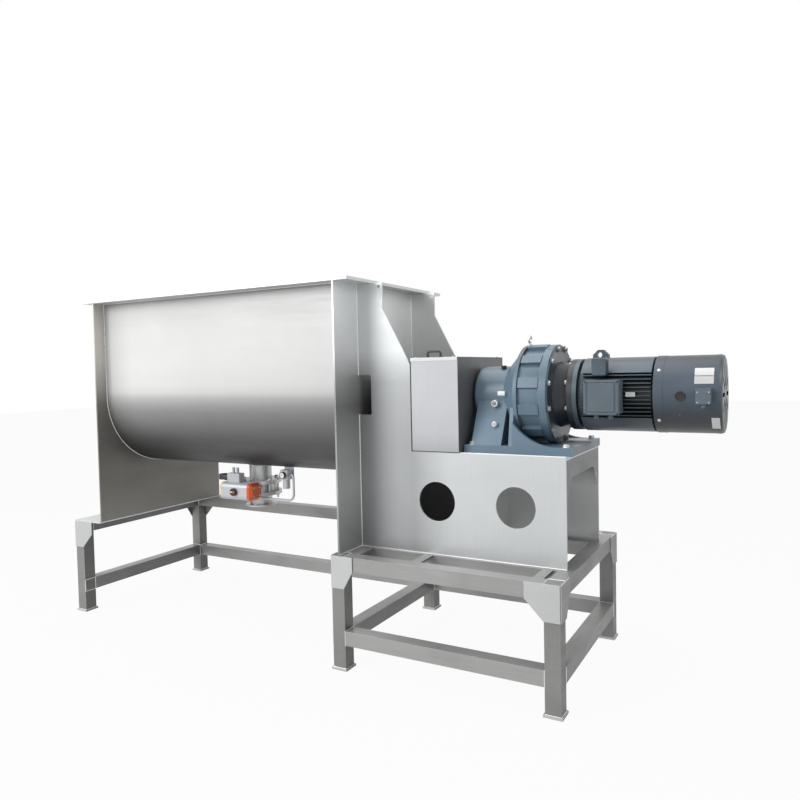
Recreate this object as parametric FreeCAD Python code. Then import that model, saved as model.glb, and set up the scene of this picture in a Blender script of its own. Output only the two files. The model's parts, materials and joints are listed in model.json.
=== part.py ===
import FreeCAD, Part
import math
import os

Vec = FreeCAD.Vector
xAxis = Vec(1, 0, 0)
yAxis = Vec(0, 1, 0)
zAxis = Vec(0, 0, 1)

# Machine axes: x runs along the shaft towards the motor, y to the rear, z up.
# x = 0 is the outer face of the end plate on the drive side; shift() centres the machine at export.

# Frame
tubeSize = 80.0
tubeWall = 4.0
frameTop = 635.0
frameHalfWidth = 579.0
railHeight = 142.0          # underside of the lower rails
tailRoom = 245.0            # frame beyond the tail end plate
driveFrameEnd = 1241.0      # frame end on the drive side
midLegInset = 43.0          # the middle legs start this far before x = 0
footSize = 96.0
footThick = 12.0
gussetThick = 6.0
gussetReach = 95.0
gussetMidReach = 58.0
gussetEndReach = 62.0
gussetStraight = 80.0
gussetDrop = 179.0
deckThick = 8.0             # plate on the tail beam, under the tail end plate
innerRailOffset = 310.0     # centre of the rails under the drive stand
tieBarWidth = 54.0
tieBarThick = 12.0
tieBarPlaces = (64.0, 443.0, 1110.0)

# Trough
troughLength = 1985.0       # over the outer faces of the end plates
troughRadius = 480.0
troughWall = 6.0
plateThick = 10.0
plateInset = 17.0           # end plates stand this far inside the frame's width
shaftHeight = 1497.0
wallHeight = 642.0          # straight side walls above the shaft axis
rimThick = 18.0
rimOverhang = 91.0
rimSideLip = 5.0

# Drive stand
cheekThick = 10.0
cheekHalfSpan = 329.0
cheekTopWidth = 169.0
cheekTopDrop = 149.0
cheekMidWidth = 337.0
cheekKneeDrop = 465.0
driveCentreHeight = 301.0   # shaft axis above the drive seat
driveLength = 1202.0
driveTopThick = 16.0
holeRadius = 107.5
holeDrop = 570.0            # access holes below the shaft axis
holePlaces = (488.0, 937.0)
notchDepth = 84.0
notchAbove = 125.0
notchBelow = 103.0
notchCorner = 14.0
liftHoleRadius = 9.0
liftHoleInset = 24.0
apronDepth = 94.0
apronLegDepth = 213.0
apronLegWidth = 18.0
apronCorner = 115.0
apronBow = 0.3              # how far the gusset's curve leaves the corner, as a share of its reach
partitionPlace = 640.0
partitionThick = 10.0

# Guard over the coupling
guardGap = 2.0
guardEnd = 624.0
guardHeight = 514.0
guardWall = 4.0
guardSlotHalf = 75.0
handleSpan = 78.0
handleHeight = 38.0
handleRod = 6.0
handleBend = 12.0
handleOffset = 316.0

# Shaft, ribbons and their arms
runFit = 0.05               # radial clearance of every running fit
shaftRadius = 55.0
journalRadius = 45.0
shaftEndGap = 5.0
plateHoleGap = 5.0
tailShaftEnd = 150.0
driveShaftEnd = 455.0
ribbonGap = 14.0            # outer ribbon to trough wall
ribbonEndGap = 30.0
outerRibbonWidth = 62.0
innerRibbonRadius = 250.0
innerRibbonWidth = 56.0
ribbonThick = 12.0
ribbonTurns = 1.0           # turns of each hand
armWidth = 40.0
armThick = 14.0

# Seals and bearings
sealFlangeRadius = 105.0
sealFlangeThick = 14.0
sealBodyRadius = 80.0
sealLength = 50.0
bearingHalf = 95.0
bearingFlange = 20.0
bearingHubRadius = 72.0
bearingHubLength = 26.0
bracketReach = 100.0
bracketHalf = 130.0
bracketThick = 14.0
bridgePlace = 130.0
bridgeThick = 16.0
bridgeAbove = 165.0
couplingRadius = 105.0
couplingHubRadius = 74.0
couplingHubLength = 58.0
couplingFlange = 26.0
couplingGap = 4.0

# Reducer
outputRadius = 50.0
reducerStart = 642.0
barrelRadius = 157.0
barrelChamfer = 10.0
barrelEnd = 815.0
neckEnd = 862.0
neckRadius = 210.0
flareEnd = 905.0
flareRadius = 246.0
ringFlangeRadius = 268.0
ringFlangeThick = 20.0
ringCoreRadius = 252.0
ringLength = 115.0
ringCoverLength = 48.0
lugTop = 272.0
lugHalfWidth = 27.0
lugInset = 8.0
lugRoot = 20.0              # how deep a lug is let into the ring
ringChamferLength = 8.0
ringChamferDepth = 10.0
boltCount = 12
boltCircle = 250.0
boltHeadRadius = 11.0
boltHeadLength = 16.0
adapterStartRadius = 176.0
adapterEndRadius = 152.0
adapterLength = 75.0
motorFlangeRadius = 187.0
motorFlangeThick = 30.0
footStart = 632.0
footEnd = 1222.0
footHalfWidth = 281.0
footPlateThick = 42.0
ringGap = 4.0
pedestalStart = 669.0
pedestalEnd = 839.0
ribThick = 21.0
webThick = 26.0
webLength = 228.0
webRise = 125.0
webWaist = 0.36            # how hollow the web's edge is, as a share of its reach
pedestalInset = 12.0
pedestalDrop = 27.0         # top of the pedestal, below the shaft axis
pedestalLap = 4.0
pedestalRoot = 12.0
ribInset = 22.0
ribTopDrop = 60.0
outputBearingDepth = 250.0
eyeboltSeat = 2.0           # how deep the eyebolt's collar is let in
eyeboltCollar = 9.5
eyeboltNeck = 15.0
eyeboltRing = 19.0
eyeboltRod = 6.0
eyeboltHalf = 5.0
glassPlace = 775.0
glassDrop = 42.0
glassStandOff = 32.0
glassRadius = 19.0
glassLength = 48.0
glassWindow = 11.0
glassRecess = 6.0
plugPlace = 789.0
plugDrop = 150.0
plugInset = 40.0
plugRadius = 11.0
plugLength = 40.0

# Motor
shieldLength = 40.0
shieldRadius = 160.0
shieldFlange = 22.0
shieldStep = 4.0
finSetback = 6.0
statorLength = 345.0
statorRadius = 190.0
statorCore = 160.0
bandHalfHeight = 112.0
finPitch = 20.0
finThick = 5.0
rotorRadius = 95.0
rotorGap = 1.0
motorShaftRadius = 24.0
motorShaftEntry = 50.0      # how far the motor shaft reaches into the ring casing
rotorInset = 20.0
cowlGap = 10.0
cowlRadius = 192.0
cowlLength = 307.0
cowlWall = 3.0
cowlEdge = 14.0
cowlEase = 0.3              # share of the edge where its two slopes meet
grilleInner = 45.0
grilleOuter = 165.0
grilleBars = 10.0
grilleSlots = 12
fanRadius = 165.0
fanHub = 40.0
fanBlades = 7
fanWidth = 60.0
fanBladeThick = 6.0
fanInset = 40.0
fanDisc = 6.0
fanRoot = 5.0
boxStart = 1280.0
boxLength = 172.0
boxHeight = 170.0
boxDrop = 5.0
boxFace = 290.0
boxLidThick = 12.0
boxLidLip = 5.0
boxLidCorner = 8.0
boxRoot = 30.0              # how far the box reaches inside the stator's outline
boxSeatGap = 0.5
glandPlaces = (0.3, 0.7)    # shares of the box's length
glandInset = 50.0
glandRadius = 13.0
glandLength = 26.0
eyeStart = 1262.0
eyeLength = 80.0
eyeTop = 232.0
eyeHalfWidth = 18.0
eyeHole = 14.0
eyeRoot = 30.0              # how deep the lug is let into the stator
eyeShoulder = 26.0
eyeHoleBack = 6.0
ventBoxStart = 1783.0
ventBoxLength = 68.0
ventBoxHeight = 69.0
ventBoxFace = 230.0
ventBoxRoot = 24.0
ventGlandInset = 20.0
ventGlandLength = 22.0
ventGlandRadius = 11.0

# Outlet, valve and its pneumatic actuator
outletOffset = -1035.0
neckTubeRadius = 75.0
neckTubeWall = 4.0
pipeFlangeRadius = 142.5    # the two flanges that clamp the valve
pipeFlangeThick = 22.0
valveDrop = 630.0           # valve axis below the shaft axis
valveHalfHeight = 28.0
valveBodyRadius = 106.0
seatLip = 2.0               # how far the seat stands into the bore
discGap = 0.5
discThick = 10.0
stemRadius = 10.0
stemBlind = 8.0             # wall left behind the stem's blind end
stemEndGap = 2.0
spoutLength = 102.0
spoutFlangeRadius = 104.0
spoutFlangeThick = 12.0
spoutBoltCircle = 89.0
spoutBoltRadius = 7.0
spoutBolts = 8
actuatorFace = 264.0
actuatorDepth = 115.0
actuatorHeight = 114.0
actuatorBodyLength = 209.0
actuatorCapLength = 37.0
actuatorCorner = 32.0
actuatorCapEase = 18.0      # bevel round a cap's outer end
bracketStemRadius = 26.0
indicatorRadius = 25.0
indicatorHeight = 16.0

# Air fittings of the actuator
solenoidOffset = -36.0      # centre of the solenoid valve from the actuator's centre
solenoidLength = 104.0
solenoidDepth = 50.0
solenoidHeight = 58.0
coilRadius = 24.0
coilLength = 46.0
plugHeadLength = 34.0
plugHeadSize = 38.0
silencerRadius = 10.0
silencerLength = 36.0
airUnitPlace = 330.0        # centre of the pressure regulator from the valve axis
airUnitSize = 62.0
airUnitDepth = 56.0
airUnitFace = 158.0
airUnitDrop = 83.0          # underside of the regulator's block, above the valve axis
bowlRadius = 24.0
bowlLength = 60.0
gaugeRadius = 22.0
gaugeLength = 18.0
airBracketThick = 6.0
airBracketLip = 6.0
airPipeRadius = 8.0
airPipeLead = 26.0          # centre of the pipe's fall from the regulator's side
airPipeDrop = 55.0          # lowest run of the pipe, below the valve axis
airPipeBend = 44.0
airElbowBend = 17.0
airPortPlace = 110.0        # air port on the actuator's back, from the valve axis
airPortSize = 36.0
airPortLength = 34.0

# Places that follow from the sizes above
tailFace = -troughLength
tailInner = tailFace + plateThick
driveInner = -plateThick
frameStart = tailFace - tailRoom
rimBottom = shaftHeight + wallHeight
driveTop = shaftHeight - driveCentreHeight
plateHalfWidth = frameHalfWidth - plateInset
cheekInner = cheekHalfSpan - cheekThick
troughInner = troughRadius - troughWall
valveHeight = shaftHeight - valveDrop
ringStart = flareEnd + ringFlangeThick
ringEnd = ringStart + ringLength + ringCoverLength
adapterEnd = ringEnd + adapterLength
motorStart = adapterEnd + motorFlangeThick
statorStart = motorStart + shieldLength
statorEnd = statorStart + statorLength
cowlStart = statorEnd + cowlGap
cowlEnd = cowlStart + cowlLength
neckBore = neckTubeRadius - neckTubeWall
seatRadius = neckBore - seatLip
actuatorBack = actuatorDepth - actuatorFace
legPlaces = (frameStart, -midLegInset, driveFrameEnd - tubeSize)
centreShift = -(frameStart - (footSize - tubeSize) / 2 + cowlEnd) / 2


def box(x0, x1, y0, y1, z0, z1):
    return Part.makeBox(x1 - x0, y1 - y0, z1 - z0, Vec(x0, y0, z0))


def rod(start, direction, radius, length):
    return Part.makeCylinder(radius, length, start, direction)


def shaftRod(x0, x1, radius):
    return rod(Vec(x0, 0, shaftHeight), xAxis, radius, x1 - x0)


def prism(points, travel):
    """A closed outline of straight edges, pushed along a vector."""
    return Part.Face(Part.makePolygon(points + [points[0]])).extrude(travel)


def turned(profile):
    """A profile of (x, radius) points, turned round the shaft axis."""
    points = [Vec(x, 0, shaftHeight + r) for x, r in profile]
    face = Part.Face(Part.makePolygon(points + [points[0]]))
    return face.revolve(Vec(0, 0, shaftHeight), xAxis, 360)


def joined(shapes):
    whole = shapes[0].fuse(shapes[1:]) if len(shapes) > 1 else shapes[0]
    return whole.removeSplitter()


def tube(x0, x1, y0, y1, z0, z1, axis):
    """A square tube that is open at both ends along its axis."""
    inner = [x0 + tubeWall, x1 - tubeWall, y0 + tubeWall, y1 - tubeWall, z0 + tubeWall, z1 - tubeWall]
    inner[2 * axis] = (x0, y0, z0)[axis]
    inner[2 * axis + 1] = (x1, y1, z1)[axis]
    return box(x0, x1, y0, y1, z0, z1).cut(box(*inner))


def mirroredY(shape):
    return shape.mirror(Vec(0, 0, 0), yAxis)


parts = {}


def save(name, shape):
    parts[name] = shape


# ---------------------------------------------------------------- frame
def makeLeg(x0, side):
    y0 = -frameHalfWidth if side < 0 else frameHalfWidth - tubeSize
    outer = box(x0, x0 + tubeSize, y0, y0 + tubeSize, footThick, frameTop)
    hollow = box(x0 + tubeWall, x0 + tubeSize - tubeWall, y0 + tubeWall, y0 + tubeSize - tubeWall,
                 footThick, frameTop - tubeWall)
    return outer.cut(hollow)


def makeFeet():
    lip = (footSize - tubeSize) / 2
    feet = []
    for x0 in legPlaces:
        for y0 in (-frameHalfWidth, frameHalfWidth - tubeSize):
            feet.append(box(x0 - lip, x0 + tubeSize + lip, y0 - lip, y0 + tubeSize + lip, 0, footThick))
    return Part.makeCompound(feet)


def crossTube(x0, z1):
    inner = frameHalfWidth - tubeSize
    return tube(x0, x0 + tubeSize, -inner, inner, z1 - tubeSize, z1, 1)


def longTube(x0, x1, side, z1):
    y0 = -frameHalfWidth if side < 0 else frameHalfWidth - tubeSize
    return tube(x0, x1, y0, y0 + tubeSize, z1 - tubeSize, z1, 0)


def gussetOutline(start, end, reach, toward):
    """Points (along, height) of a gusset whose leg runs from start to end; it reaches past one side."""
    edge = end + reach if toward > 0 else start - reach
    inner = end if toward > 0 else start
    outer = start if toward > 0 else end
    low = frameTop - gussetDrop
    return [(outer, frameTop), (edge, frameTop), (edge, frameTop - gussetStraight),
            (inner, low), (outer, low)]


def makeGussets():
    plates = []
    reaches = ((gussetReach, 1), (gussetMidReach, 1), (gussetReach, -1))
    for x0, (reach, toward) in zip(legPlaces, reaches):
        outline = gussetOutline(x0, x0 + tubeSize, reach, toward)
        for side in (-1, 1):
            y0 = -frameHalfWidth - gussetThick if side < 0 else frameHalfWidth
            plates.append(prism([Vec(x, y0, z) for x, z in outline], Vec(0, gussetThick, 0)))
    for x0 in (frameStart - gussetThick, driveFrameEnd):
        outline = gussetOutline(-frameHalfWidth, -frameHalfWidth + tubeSize, gussetEndReach, 1)
        plate = prism([Vec(x0, y, z) for y, z in outline], Vec(gussetThick, 0, 0))
        plates += [plate, mirroredY(plate)]
    return Part.makeCompound(plates)


def makeFrame():
    for place, x0 in zip(("tail", "middle", "drive"), legPlaces):
        save("leg_front_" + place, makeLeg(x0, -1))
        save("leg_rear_" + place, makeLeg(x0, 1))
    save("top_cross_beams", Part.makeCompound([crossTube(x0, frameTop) for x0 in legPlaces]))
    save("lower_cross_rails", Part.makeCompound([crossTube(x0, railHeight + tubeSize) for x0 in legPlaces]))
    tail, middle, drive = legPlaces
    for name, z1 in (("top_side_beams", frameTop), ("lower_side_rails", railHeight + tubeSize)):
        bays = [longTube(middle + tubeSize, drive, -1, z1), longTube(tail + tubeSize, middle, 1, z1),
                longTube(middle + tubeSize, drive, 1, z1)]
        save(name, Part.makeCompound(bays))
    save("foot_plates", makeFeet())
    save("corner_gussets", makeGussets())
    save("drive_stand_rails", makeStandRails())
    save("tie_bars", makeTieBars())
    save("tail_deck_plate", makeTailDeck())


def makeTailDeck():
    """The flat plate that carries the tail end plate out from the tail beam."""
    return box(frameStart, tailInner, -frameHalfWidth, frameHalfWidth, frameTop, frameTop + deckThick)


def makeStandRails():
    x0 = legPlaces[1] + tubeSize
    x1 = legPlaces[2]
    y0 = -innerRailOffset - tubeSize / 2
    rail = tube(x0, x1, y0, y0 + tubeSize, frameTop - tubeSize, frameTop, 0)
    return Part.makeCompound([rail, mirroredY(rail)])


def makeTieBars():
    bars = []
    y0 = -frameHalfWidth + tubeSize
    y1 = -innerRailOffset - tubeSize / 2
    for place in tieBarPlaces:
        bar = box(place - tieBarWidth / 2, place + tieBarWidth / 2, y0, y1, frameTop - tieBarThick, frameTop)
        bars += [bar, mirroredY(bar)]
    return Part.makeCompound(bars)


# ---------------------------------------------------------------- trough
def troughFace(x, radius, top):
    """The U of a trough section, closed at the top."""
    left = Vec(x, -radius, shaftHeight)
    right = Vec(x, radius, shaftHeight)
    low = Vec(x, 0, shaftHeight - radius)
    leftTop = Vec(x, -radius, top)
    rightTop = Vec(x, radius, top)
    edges = [Part.makeLine(leftTop, left), Part.Arc(left, low, right).toShape(),
             Part.makeLine(right, rightTop), Part.makeLine(rightTop, leftTop)]
    return Part.Face(Part.Wire(edges))


def makeTroughShell():
    length = Vec(driveInner - tailInner, 0, 0)
    outer = troughFace(tailInner, troughRadius, rimBottom).extrude(length)
    inner = troughFace(tailInner, troughInner, rimBottom).extrude(length)
    port = rod(Vec(outletOffset, 0, valveHeight), zAxis, neckBore, valveDrop)
    return outer.cut(inner).cut(port)


def makeEndPlate(x0, z0):
    plate = box(x0, x0 + plateThick, -plateHalfWidth, plateHalfWidth, z0, rimBottom)
    return plate.cut(shaftRod(x0, x0 + plateThick, journalRadius + plateHoleGap))


def makeRim():
    side = plateHalfWidth + rimSideLip
    slab = box(tailFace - rimOverhang, rimOverhang, -side, side, rimBottom, rimBottom + rimThick)
    mouth = box(tailInner, driveInner, -troughInner, troughInner, rimBottom, rimBottom + rimThick)
    return slab.cut(mouth)


# ---------------------------------------------------------------- drive stand
def roundedNotch():
    """The access notch, open towards the end plate, with rounded far corners."""
    x1 = notchDepth
    z0 = shaftHeight - notchBelow
    z1 = shaftHeight + notchAbove
    block = box(0, x1, -cheekHalfSpan, -cheekInner, z0, z1)
    corners = [e for e in block.Edges
               if abs(e.CenterOfMass.x - x1) < 1e-6 and abs(e.Length - cheekThick) < 1e-6]
    return block.makeFillet(notchCorner, corners)


def makeCheek():
    knee = rimBottom - cheekKneeDrop
    shoulder = rimBottom - cheekTopDrop
    outline = [(0, frameTop), (driveLength, frameTop), (driveLength, driveTop), (cheekMidWidth, driveTop),
               (cheekMidWidth, knee), (cheekTopWidth, shoulder), (cheekTopWidth, rimBottom), (0, rimBottom)]
    cheek = prism([Vec(x, -cheekHalfSpan, z) for x, z in outline], Vec(0, cheekThick, 0))
    start = Vec(cheekTopWidth - liftHoleInset, -cheekHalfSpan, rimBottom - liftHoleInset)
    return cheek.cut(rod(start, yAxis, liftHoleRadius, cheekThick))


def makeFrontCheek():
    cheek = makeCheek().cut(roundedNotch())
    for x in holePlaces:
        cheek = cheek.cut(rod(Vec(x, -cheekHalfSpan, shaftHeight - holeDrop), yAxis, holeRadius, cheekThick))
    return cheek


def makeDriveTop():
    return box(0, driveLength, -cheekInner, cheekInner, driveTop - driveTopThick, driveTop)


def makeApron():
    """The plate under the open end of the drive stand, with a curved gusset down each side."""
    x0 = driveLength - cheekThick
    top = driveTop - driveTopThick
    low = top - apronDepth
    foot = top - apronLegDepth
    inner = cheekInner - apronLegWidth
    shoulder = cheekInner - apronCorner
    bend = inner - (inner - shoulder) * apronBow
    bow = low - (low - foot) * apronBow

    def at(y, z):
        return Vec(x0, y, z)
    edges = [Part.makeLine(at(-cheekInner, top), at(cheekInner, top)),
             Part.makeLine(at(cheekInner, top), at(cheekInner, foot)),
             Part.makeLine(at(cheekInner, foot), at(inner, foot)),
             Part.Arc(at(inner, foot), at(bend, bow), at(shoulder, low)).toShape(),
             Part.makeLine(at(shoulder, low), at(-shoulder, low)),
             Part.Arc(at(-shoulder, low), at(-bend, bow), at(-inner, foot)).toShape(),
             Part.makeLine(at(-inner, foot), at(-cheekInner, foot)),
             Part.makeLine(at(-cheekInner, foot), at(-cheekInner, top))]
    return Part.Face(Part.Wire(edges)).extrude(Vec(cheekThick, 0, 0))


def makePartition():
    """A folded sheet: the floor of the closed compartment next to the trough, and its end wall."""
    floor = box(0, partitionPlace, -cheekInner, cheekInner, frameTop, frameTop + partitionThick)
    wall = box(partitionPlace, partitionPlace + partitionThick, -cheekInner, cheekInner,
               frameTop, driveTop - driveTopThick)
    return joined([floor, wall])


def makeGuard():
    x0 = cheekMidWidth + guardGap
    top = driveTop + guardHeight
    shell = box(x0, guardEnd, -cheekHalfSpan, cheekHalfSpan, driveTop, top)
    inside = box(x0, guardEnd - guardWall, -cheekHalfSpan + guardWall, cheekHalfSpan - guardWall,
                 driveTop, top - guardWall)
    slot = box(guardEnd - guardWall, guardEnd, -guardSlotHalf, guardSlotHalf, driveTop, shaftHeight)
    arch = shaftRod(guardEnd - guardWall, guardEnd, guardSlotHalf)
    return shell.cut(inside).cut(slot).cut(arch)


def makeGuardHandle():
    """A bow handle of round rod on the guard's top, with a mitred corner each side."""
    middle = (cheekMidWidth + guardGap + guardEnd) / 2
    base = driveTop + guardHeight
    half = handleSpan / 2
    top = base + handleHeight - handleRod
    corners = ((-half, base), (-half, top - handleBend), (-half + handleBend, top),
               (half - handleBend, top), (half, top - handleBend), (half, base))
    path = Part.makePolygon([Vec(middle + x, -handleOffset, z) for x, z in corners])
    section = Part.Wire(Part.makeCircle(handleRod, Vec(middle - half, -handleOffset, base), zAxis))
    sweep = Part.BRepOffsetAPI.MakePipeShell(path)
    sweep.setTransitionMode(1)
    sweep.add(section)
    sweep.build()
    sweep.makeSolid()
    return sweep.shape()


# ---------------------------------------------------------------- rotor
def makeMainShaft():
    return joined([shaftRod(tailFace - tailShaftEnd, tailInner + shaftEndGap, journalRadius),
                   shaftRod(tailInner + shaftEndGap, driveInner - shaftEndGap, shaftRadius),
                   shaftRod(driveInner - shaftEndGap, driveShaftEnd, journalRadius)])


def ribbon(x0, length, outerRadius, width, phase, hand):
    """A flat helical strip, standing on edge: a rectangle swept along a helix round the shaft axis."""
    run = length - ribbonThick
    inner = outerRadius - width
    path = Part.Wire(Part.makeHelix(run / ribbonTurns, run, outerRadius, 0, hand < 0).Edges)
    section = Part.makePolygon([Vec(inner, 0, 0), Vec(outerRadius, 0, 0), Vec(outerRadius, 0, ribbonThick),
                                Vec(inner, 0, ribbonThick), Vec(inner, 0, 0)])
    strip = path.makePipeShell([section], True, True)
    strip.rotate(Vec(0, 0, 0), zAxis, phase)
    strip.rotate(Vec(0, 0, 0), yAxis, 90)
    strip.translate(Vec(x0, 0, shaftHeight))
    return strip


def makeRibbons(outerRadius, width, hand):
    """Two starts on each side of the middle; the hand changes there, so both sides feed the outlet."""
    x0 = tailInner + ribbonEndGap
    half = (driveInner - ribbonEndGap - x0) / 2
    strips = []
    for start in (0, 180):
        strips.append(ribbon(x0, half, outerRadius, width, start, hand))
        strips.append(ribbon(x0 + half, half, outerRadius, width, start, -hand))
    return strips


def armPlaces():
    """(x, angle) of each arm: a quarter turn apart, where the inner and outer ribbons line up."""
    x0 = tailInner + ribbonEndGap
    half = (driveInner - ribbonEndGap - x0) / 2
    count = int(4 * ribbonTurns)
    quarter = (half - ribbonThick) / (4 * ribbonTurns)
    places = [(x0 + ribbonThick / 2 + step * quarter, 90 * step) for step in range(count)]
    places.append((x0 + half, 90 * count))
    places += [(x0 + half + ribbonThick / 2 + step * quarter, 90 * step) for step in range(1, count + 1)]
    return places


def makeArms():
    """Flat bars on edge, from the shaft to the inner ribbons and on to the outer ones.

    Each bar ends on the cylinder that the ribbon's edge lies on, so it seats on that edge.
    """
    outerEdge = troughInner - ribbonGap - outerRibbonWidth
    spans = ((shaftRadius, innerRibbonRadius - innerRibbonWidth), (innerRibbonRadius, outerEdge))
    struts = []
    for x, angle in armPlaces():
        x0 = x - armThick / 2
        x1 = x + armThick / 2
        bar = box(x0, x1, -armWidth / 2, armWidth / 2, shaftHeight - troughRadius, shaftHeight + troughRadius)
        bar.rotate(Vec(x, 0, shaftHeight), xAxis, -angle)
        for inner, outer in spans:
            sleeve = shaftRod(x0, x1, outer).cut(shaftRod(x0, x1, inner))
            struts += bar.common(sleeve).Solids
    return Part.makeCompound(struts)


# ---------------------------------------------------------------- seals, bearings, coupling
def flangedRing(x0, toward, flangeRadius, flangeThick, bodyRadius, length, bore):
    """A turned ring whose flange stands on a plate at x0 and whose body points the given way."""
    def at(distance):
        return x0 + toward * distance
    return turned([(x0, bore), (x0, flangeRadius), (at(flangeThick), flangeRadius),
                   (at(flangeThick), bodyRadius), (at(length), bodyRadius), (at(length), bore)])


def makeSeal(x0, toward):
    return flangedRing(x0, toward, sealFlangeRadius, sealFlangeThick, sealBodyRadius, sealLength,
                       journalRadius + runFit)


def makeBearing(x0, toward):
    """A square flanged bearing unit."""
    x1 = x0 + toward * bearingFlange
    flange = box(min(x0, x1), max(x0, x1), -bearingHalf, bearingHalf,
                 shaftHeight - bearingHalf, shaftHeight + bearingHalf)
    upright = [e for e in flange.Edges if abs(e.Length - bearingFlange) < 1e-6]
    flange = flange.makeFillet(bearingHalf / 4, upright)
    x2 = x1 + toward * bearingHubLength
    hub = shaftRod(min(x1, x2), max(x1, x2), bearingHubRadius)
    return joined([flange, hub]).cut(shaftRod(min(x0, x2), max(x0, x2), journalRadius + runFit))


def makeTailBracket():
    """A box bracket that carries the tail bearing clear of the seal."""
    x1 = tailFace
    x0 = x1 - bracketReach
    outer = box(x0, x1, -bracketHalf, bracketHalf, shaftHeight - bracketHalf, shaftHeight + bracketHalf)
    inside = box(x0 + bracketThick, x1, -bracketHalf + bracketThick, bracketHalf - bracketThick,
                 shaftHeight - bracketHalf, shaftHeight + bracketHalf)
    return outer.cut(inside).cut(shaftRod(x0, x0 + bracketThick, journalRadius + plateHoleGap))


def makeBridge():
    """The plate between the cheeks that carries the bearing on the drive side."""
    plate = box(bridgePlace, bridgePlace + bridgeThick, -cheekInner, cheekInner,
                driveTop, shaftHeight + bridgeAbove)
    return plate.cut(shaftRod(bridgePlace, bridgePlace + bridgeThick, journalRadius + plateHoleGap))


def makeCouplingHalf(face, toward, bore):
    """A hub with a disc; the disc's face is at the joint between the two halves."""
    return turned([(face, bore), (face, couplingRadius), (face + toward * couplingFlange, couplingRadius),
                   (face + toward * couplingFlange, couplingHubRadius),
                   (face + toward * (couplingFlange + couplingHubLength), couplingHubRadius),
                   (face + toward * (couplingFlange + couplingHubLength), bore)])


# ---------------------------------------------------------------- reducer
def makeReducerHousing():
    base = driveTop
    deck = base + footPlateThick
    bore = outputRadius + runFit
    depth = reducerStart + outputBearingDepth
    barrel = turned([(reducerStart, bore), (reducerStart, barrelRadius - barrelChamfer),
                     (reducerStart + barrelChamfer, barrelRadius), (barrelEnd, barrelRadius),
                     (neckEnd, neckRadius), (flareEnd, flareRadius), (flareEnd, ringFlangeRadius),
                     (ringStart, ringFlangeRadius), (ringStart, 0), (depth, 0), (depth, bore)])
    foot = box(footStart, footEnd, -footHalfWidth, footHalfWidth, base, deck)
    pedestalTop = shaftHeight - pedestalDrop
    pedestal = prism([Vec(pedestalStart, y, z) for y, z in (
        (-footHalfWidth + pedestalInset, deck), (footHalfWidth - pedestalInset, deck),
        (barrelRadius - pedestalLap, pedestalTop), (-barrelRadius + pedestalLap, pedestalTop))],
        Vec(pedestalEnd - pedestalStart, 0, 0))
    pedestal = pedestal.cut(shaftRod(pedestalStart, pedestalEnd, barrelRadius - pedestalRoot))
    ribHalfTop = ringFlangeRadius - ribInset
    ribTop = shaftHeight - ribTopDrop
    rib = prism([Vec(flareEnd - ribThick, y, z) for y, z in (
        (-footHalfWidth, deck), (footHalfWidth, deck), (ribHalfTop, ribTop), (-ribHalfTop, ribTop))],
        Vec(ribThick, 0, 0))
    rib = rib.cut(shaftRod(flareEnd - ribThick, flareEnd, neckRadius))
    web = makeFootWeb(deck)
    clear = shaftRod(ringStart, footEnd, lugTop + ringGap)
    body = joined([barrel, foot, pedestal, rib, web, mirroredY(web)])
    return body.cut(clear)


def makeFootWeb(deck):
    """The curved web that ties the foot to the ring flange, on the front side."""
    x0 = flareEnd
    x1 = x0 + webLength
    y0 = -footHalfWidth
    high = Vec(x0, y0, deck + webRise)
    low = Vec(x1, y0, deck)
    waist = Vec(x0 + webLength * webWaist, y0, deck + webRise * webWaist)
    edges = [Part.makeLine(Vec(x0, y0, deck), high), Part.Arc(high, waist, low).toShape(),
             Part.makeLine(low, Vec(x0, y0, deck))]
    return Part.Face(Part.Wire(edges)).extrude(Vec(0, webThick, 0))


def boltAngles():
    return [360.0 / boltCount * (i + 0.5) for i in range(boltCount)]


def makeRingHousing():
    """The ring gear casing: a turned core, a lug at each bolt and a cover flange."""
    x1 = ringStart + ringLength
    core = turned([(ringStart, 0), (ringStart, ringCoreRadius), (x1, ringCoreRadius), (x1, ringFlangeRadius),
                   (ringEnd - ringChamferLength, ringFlangeRadius),
                   (ringEnd, ringFlangeRadius - ringChamferDepth), (ringEnd, 0)])
    pieces = [core]
    for angle in boltAngles():
        lug = box(ringStart + lugInset, x1, -lugHalfWidth, lugHalfWidth,
                  shaftHeight + ringCoreRadius - lugRoot, shaftHeight + lugTop)
        pieces.append(lug.rotate(Vec(0, 0, shaftHeight), xAxis, angle))
    ring = joined(pieces)
    return ring.cut(shaftRod(ringEnd - motorShaftEntry, ringEnd, motorShaftRadius + runFit))


def makeBolts():
    bolts = []
    for angle in boltAngles():
        head = hexHead(Vec(ringEnd, 0, shaftHeight + boltCircle), boltHeadRadius, boltHeadLength)
        bolts.append(head.rotate(Vec(0, 0, shaftHeight), xAxis, angle))
    return Part.makeCompound(bolts)


def hexHead(start, radius, length):
    corners = []
    for i in range(6):
        turn = math.radians(60 * i)
        corners.append(start + Vec(0, radius * math.cos(turn), radius * math.sin(turn)))
    return prism(corners, Vec(length, 0, 0))


def makeAdapter():
    bore = motorShaftRadius + runFit
    return turned([(ringEnd, bore), (ringEnd, adapterStartRadius), (adapterEnd, adapterEndRadius),
                   (adapterEnd, motorFlangeRadius), (motorStart, motorFlangeRadius), (motorStart, bore)])


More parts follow.
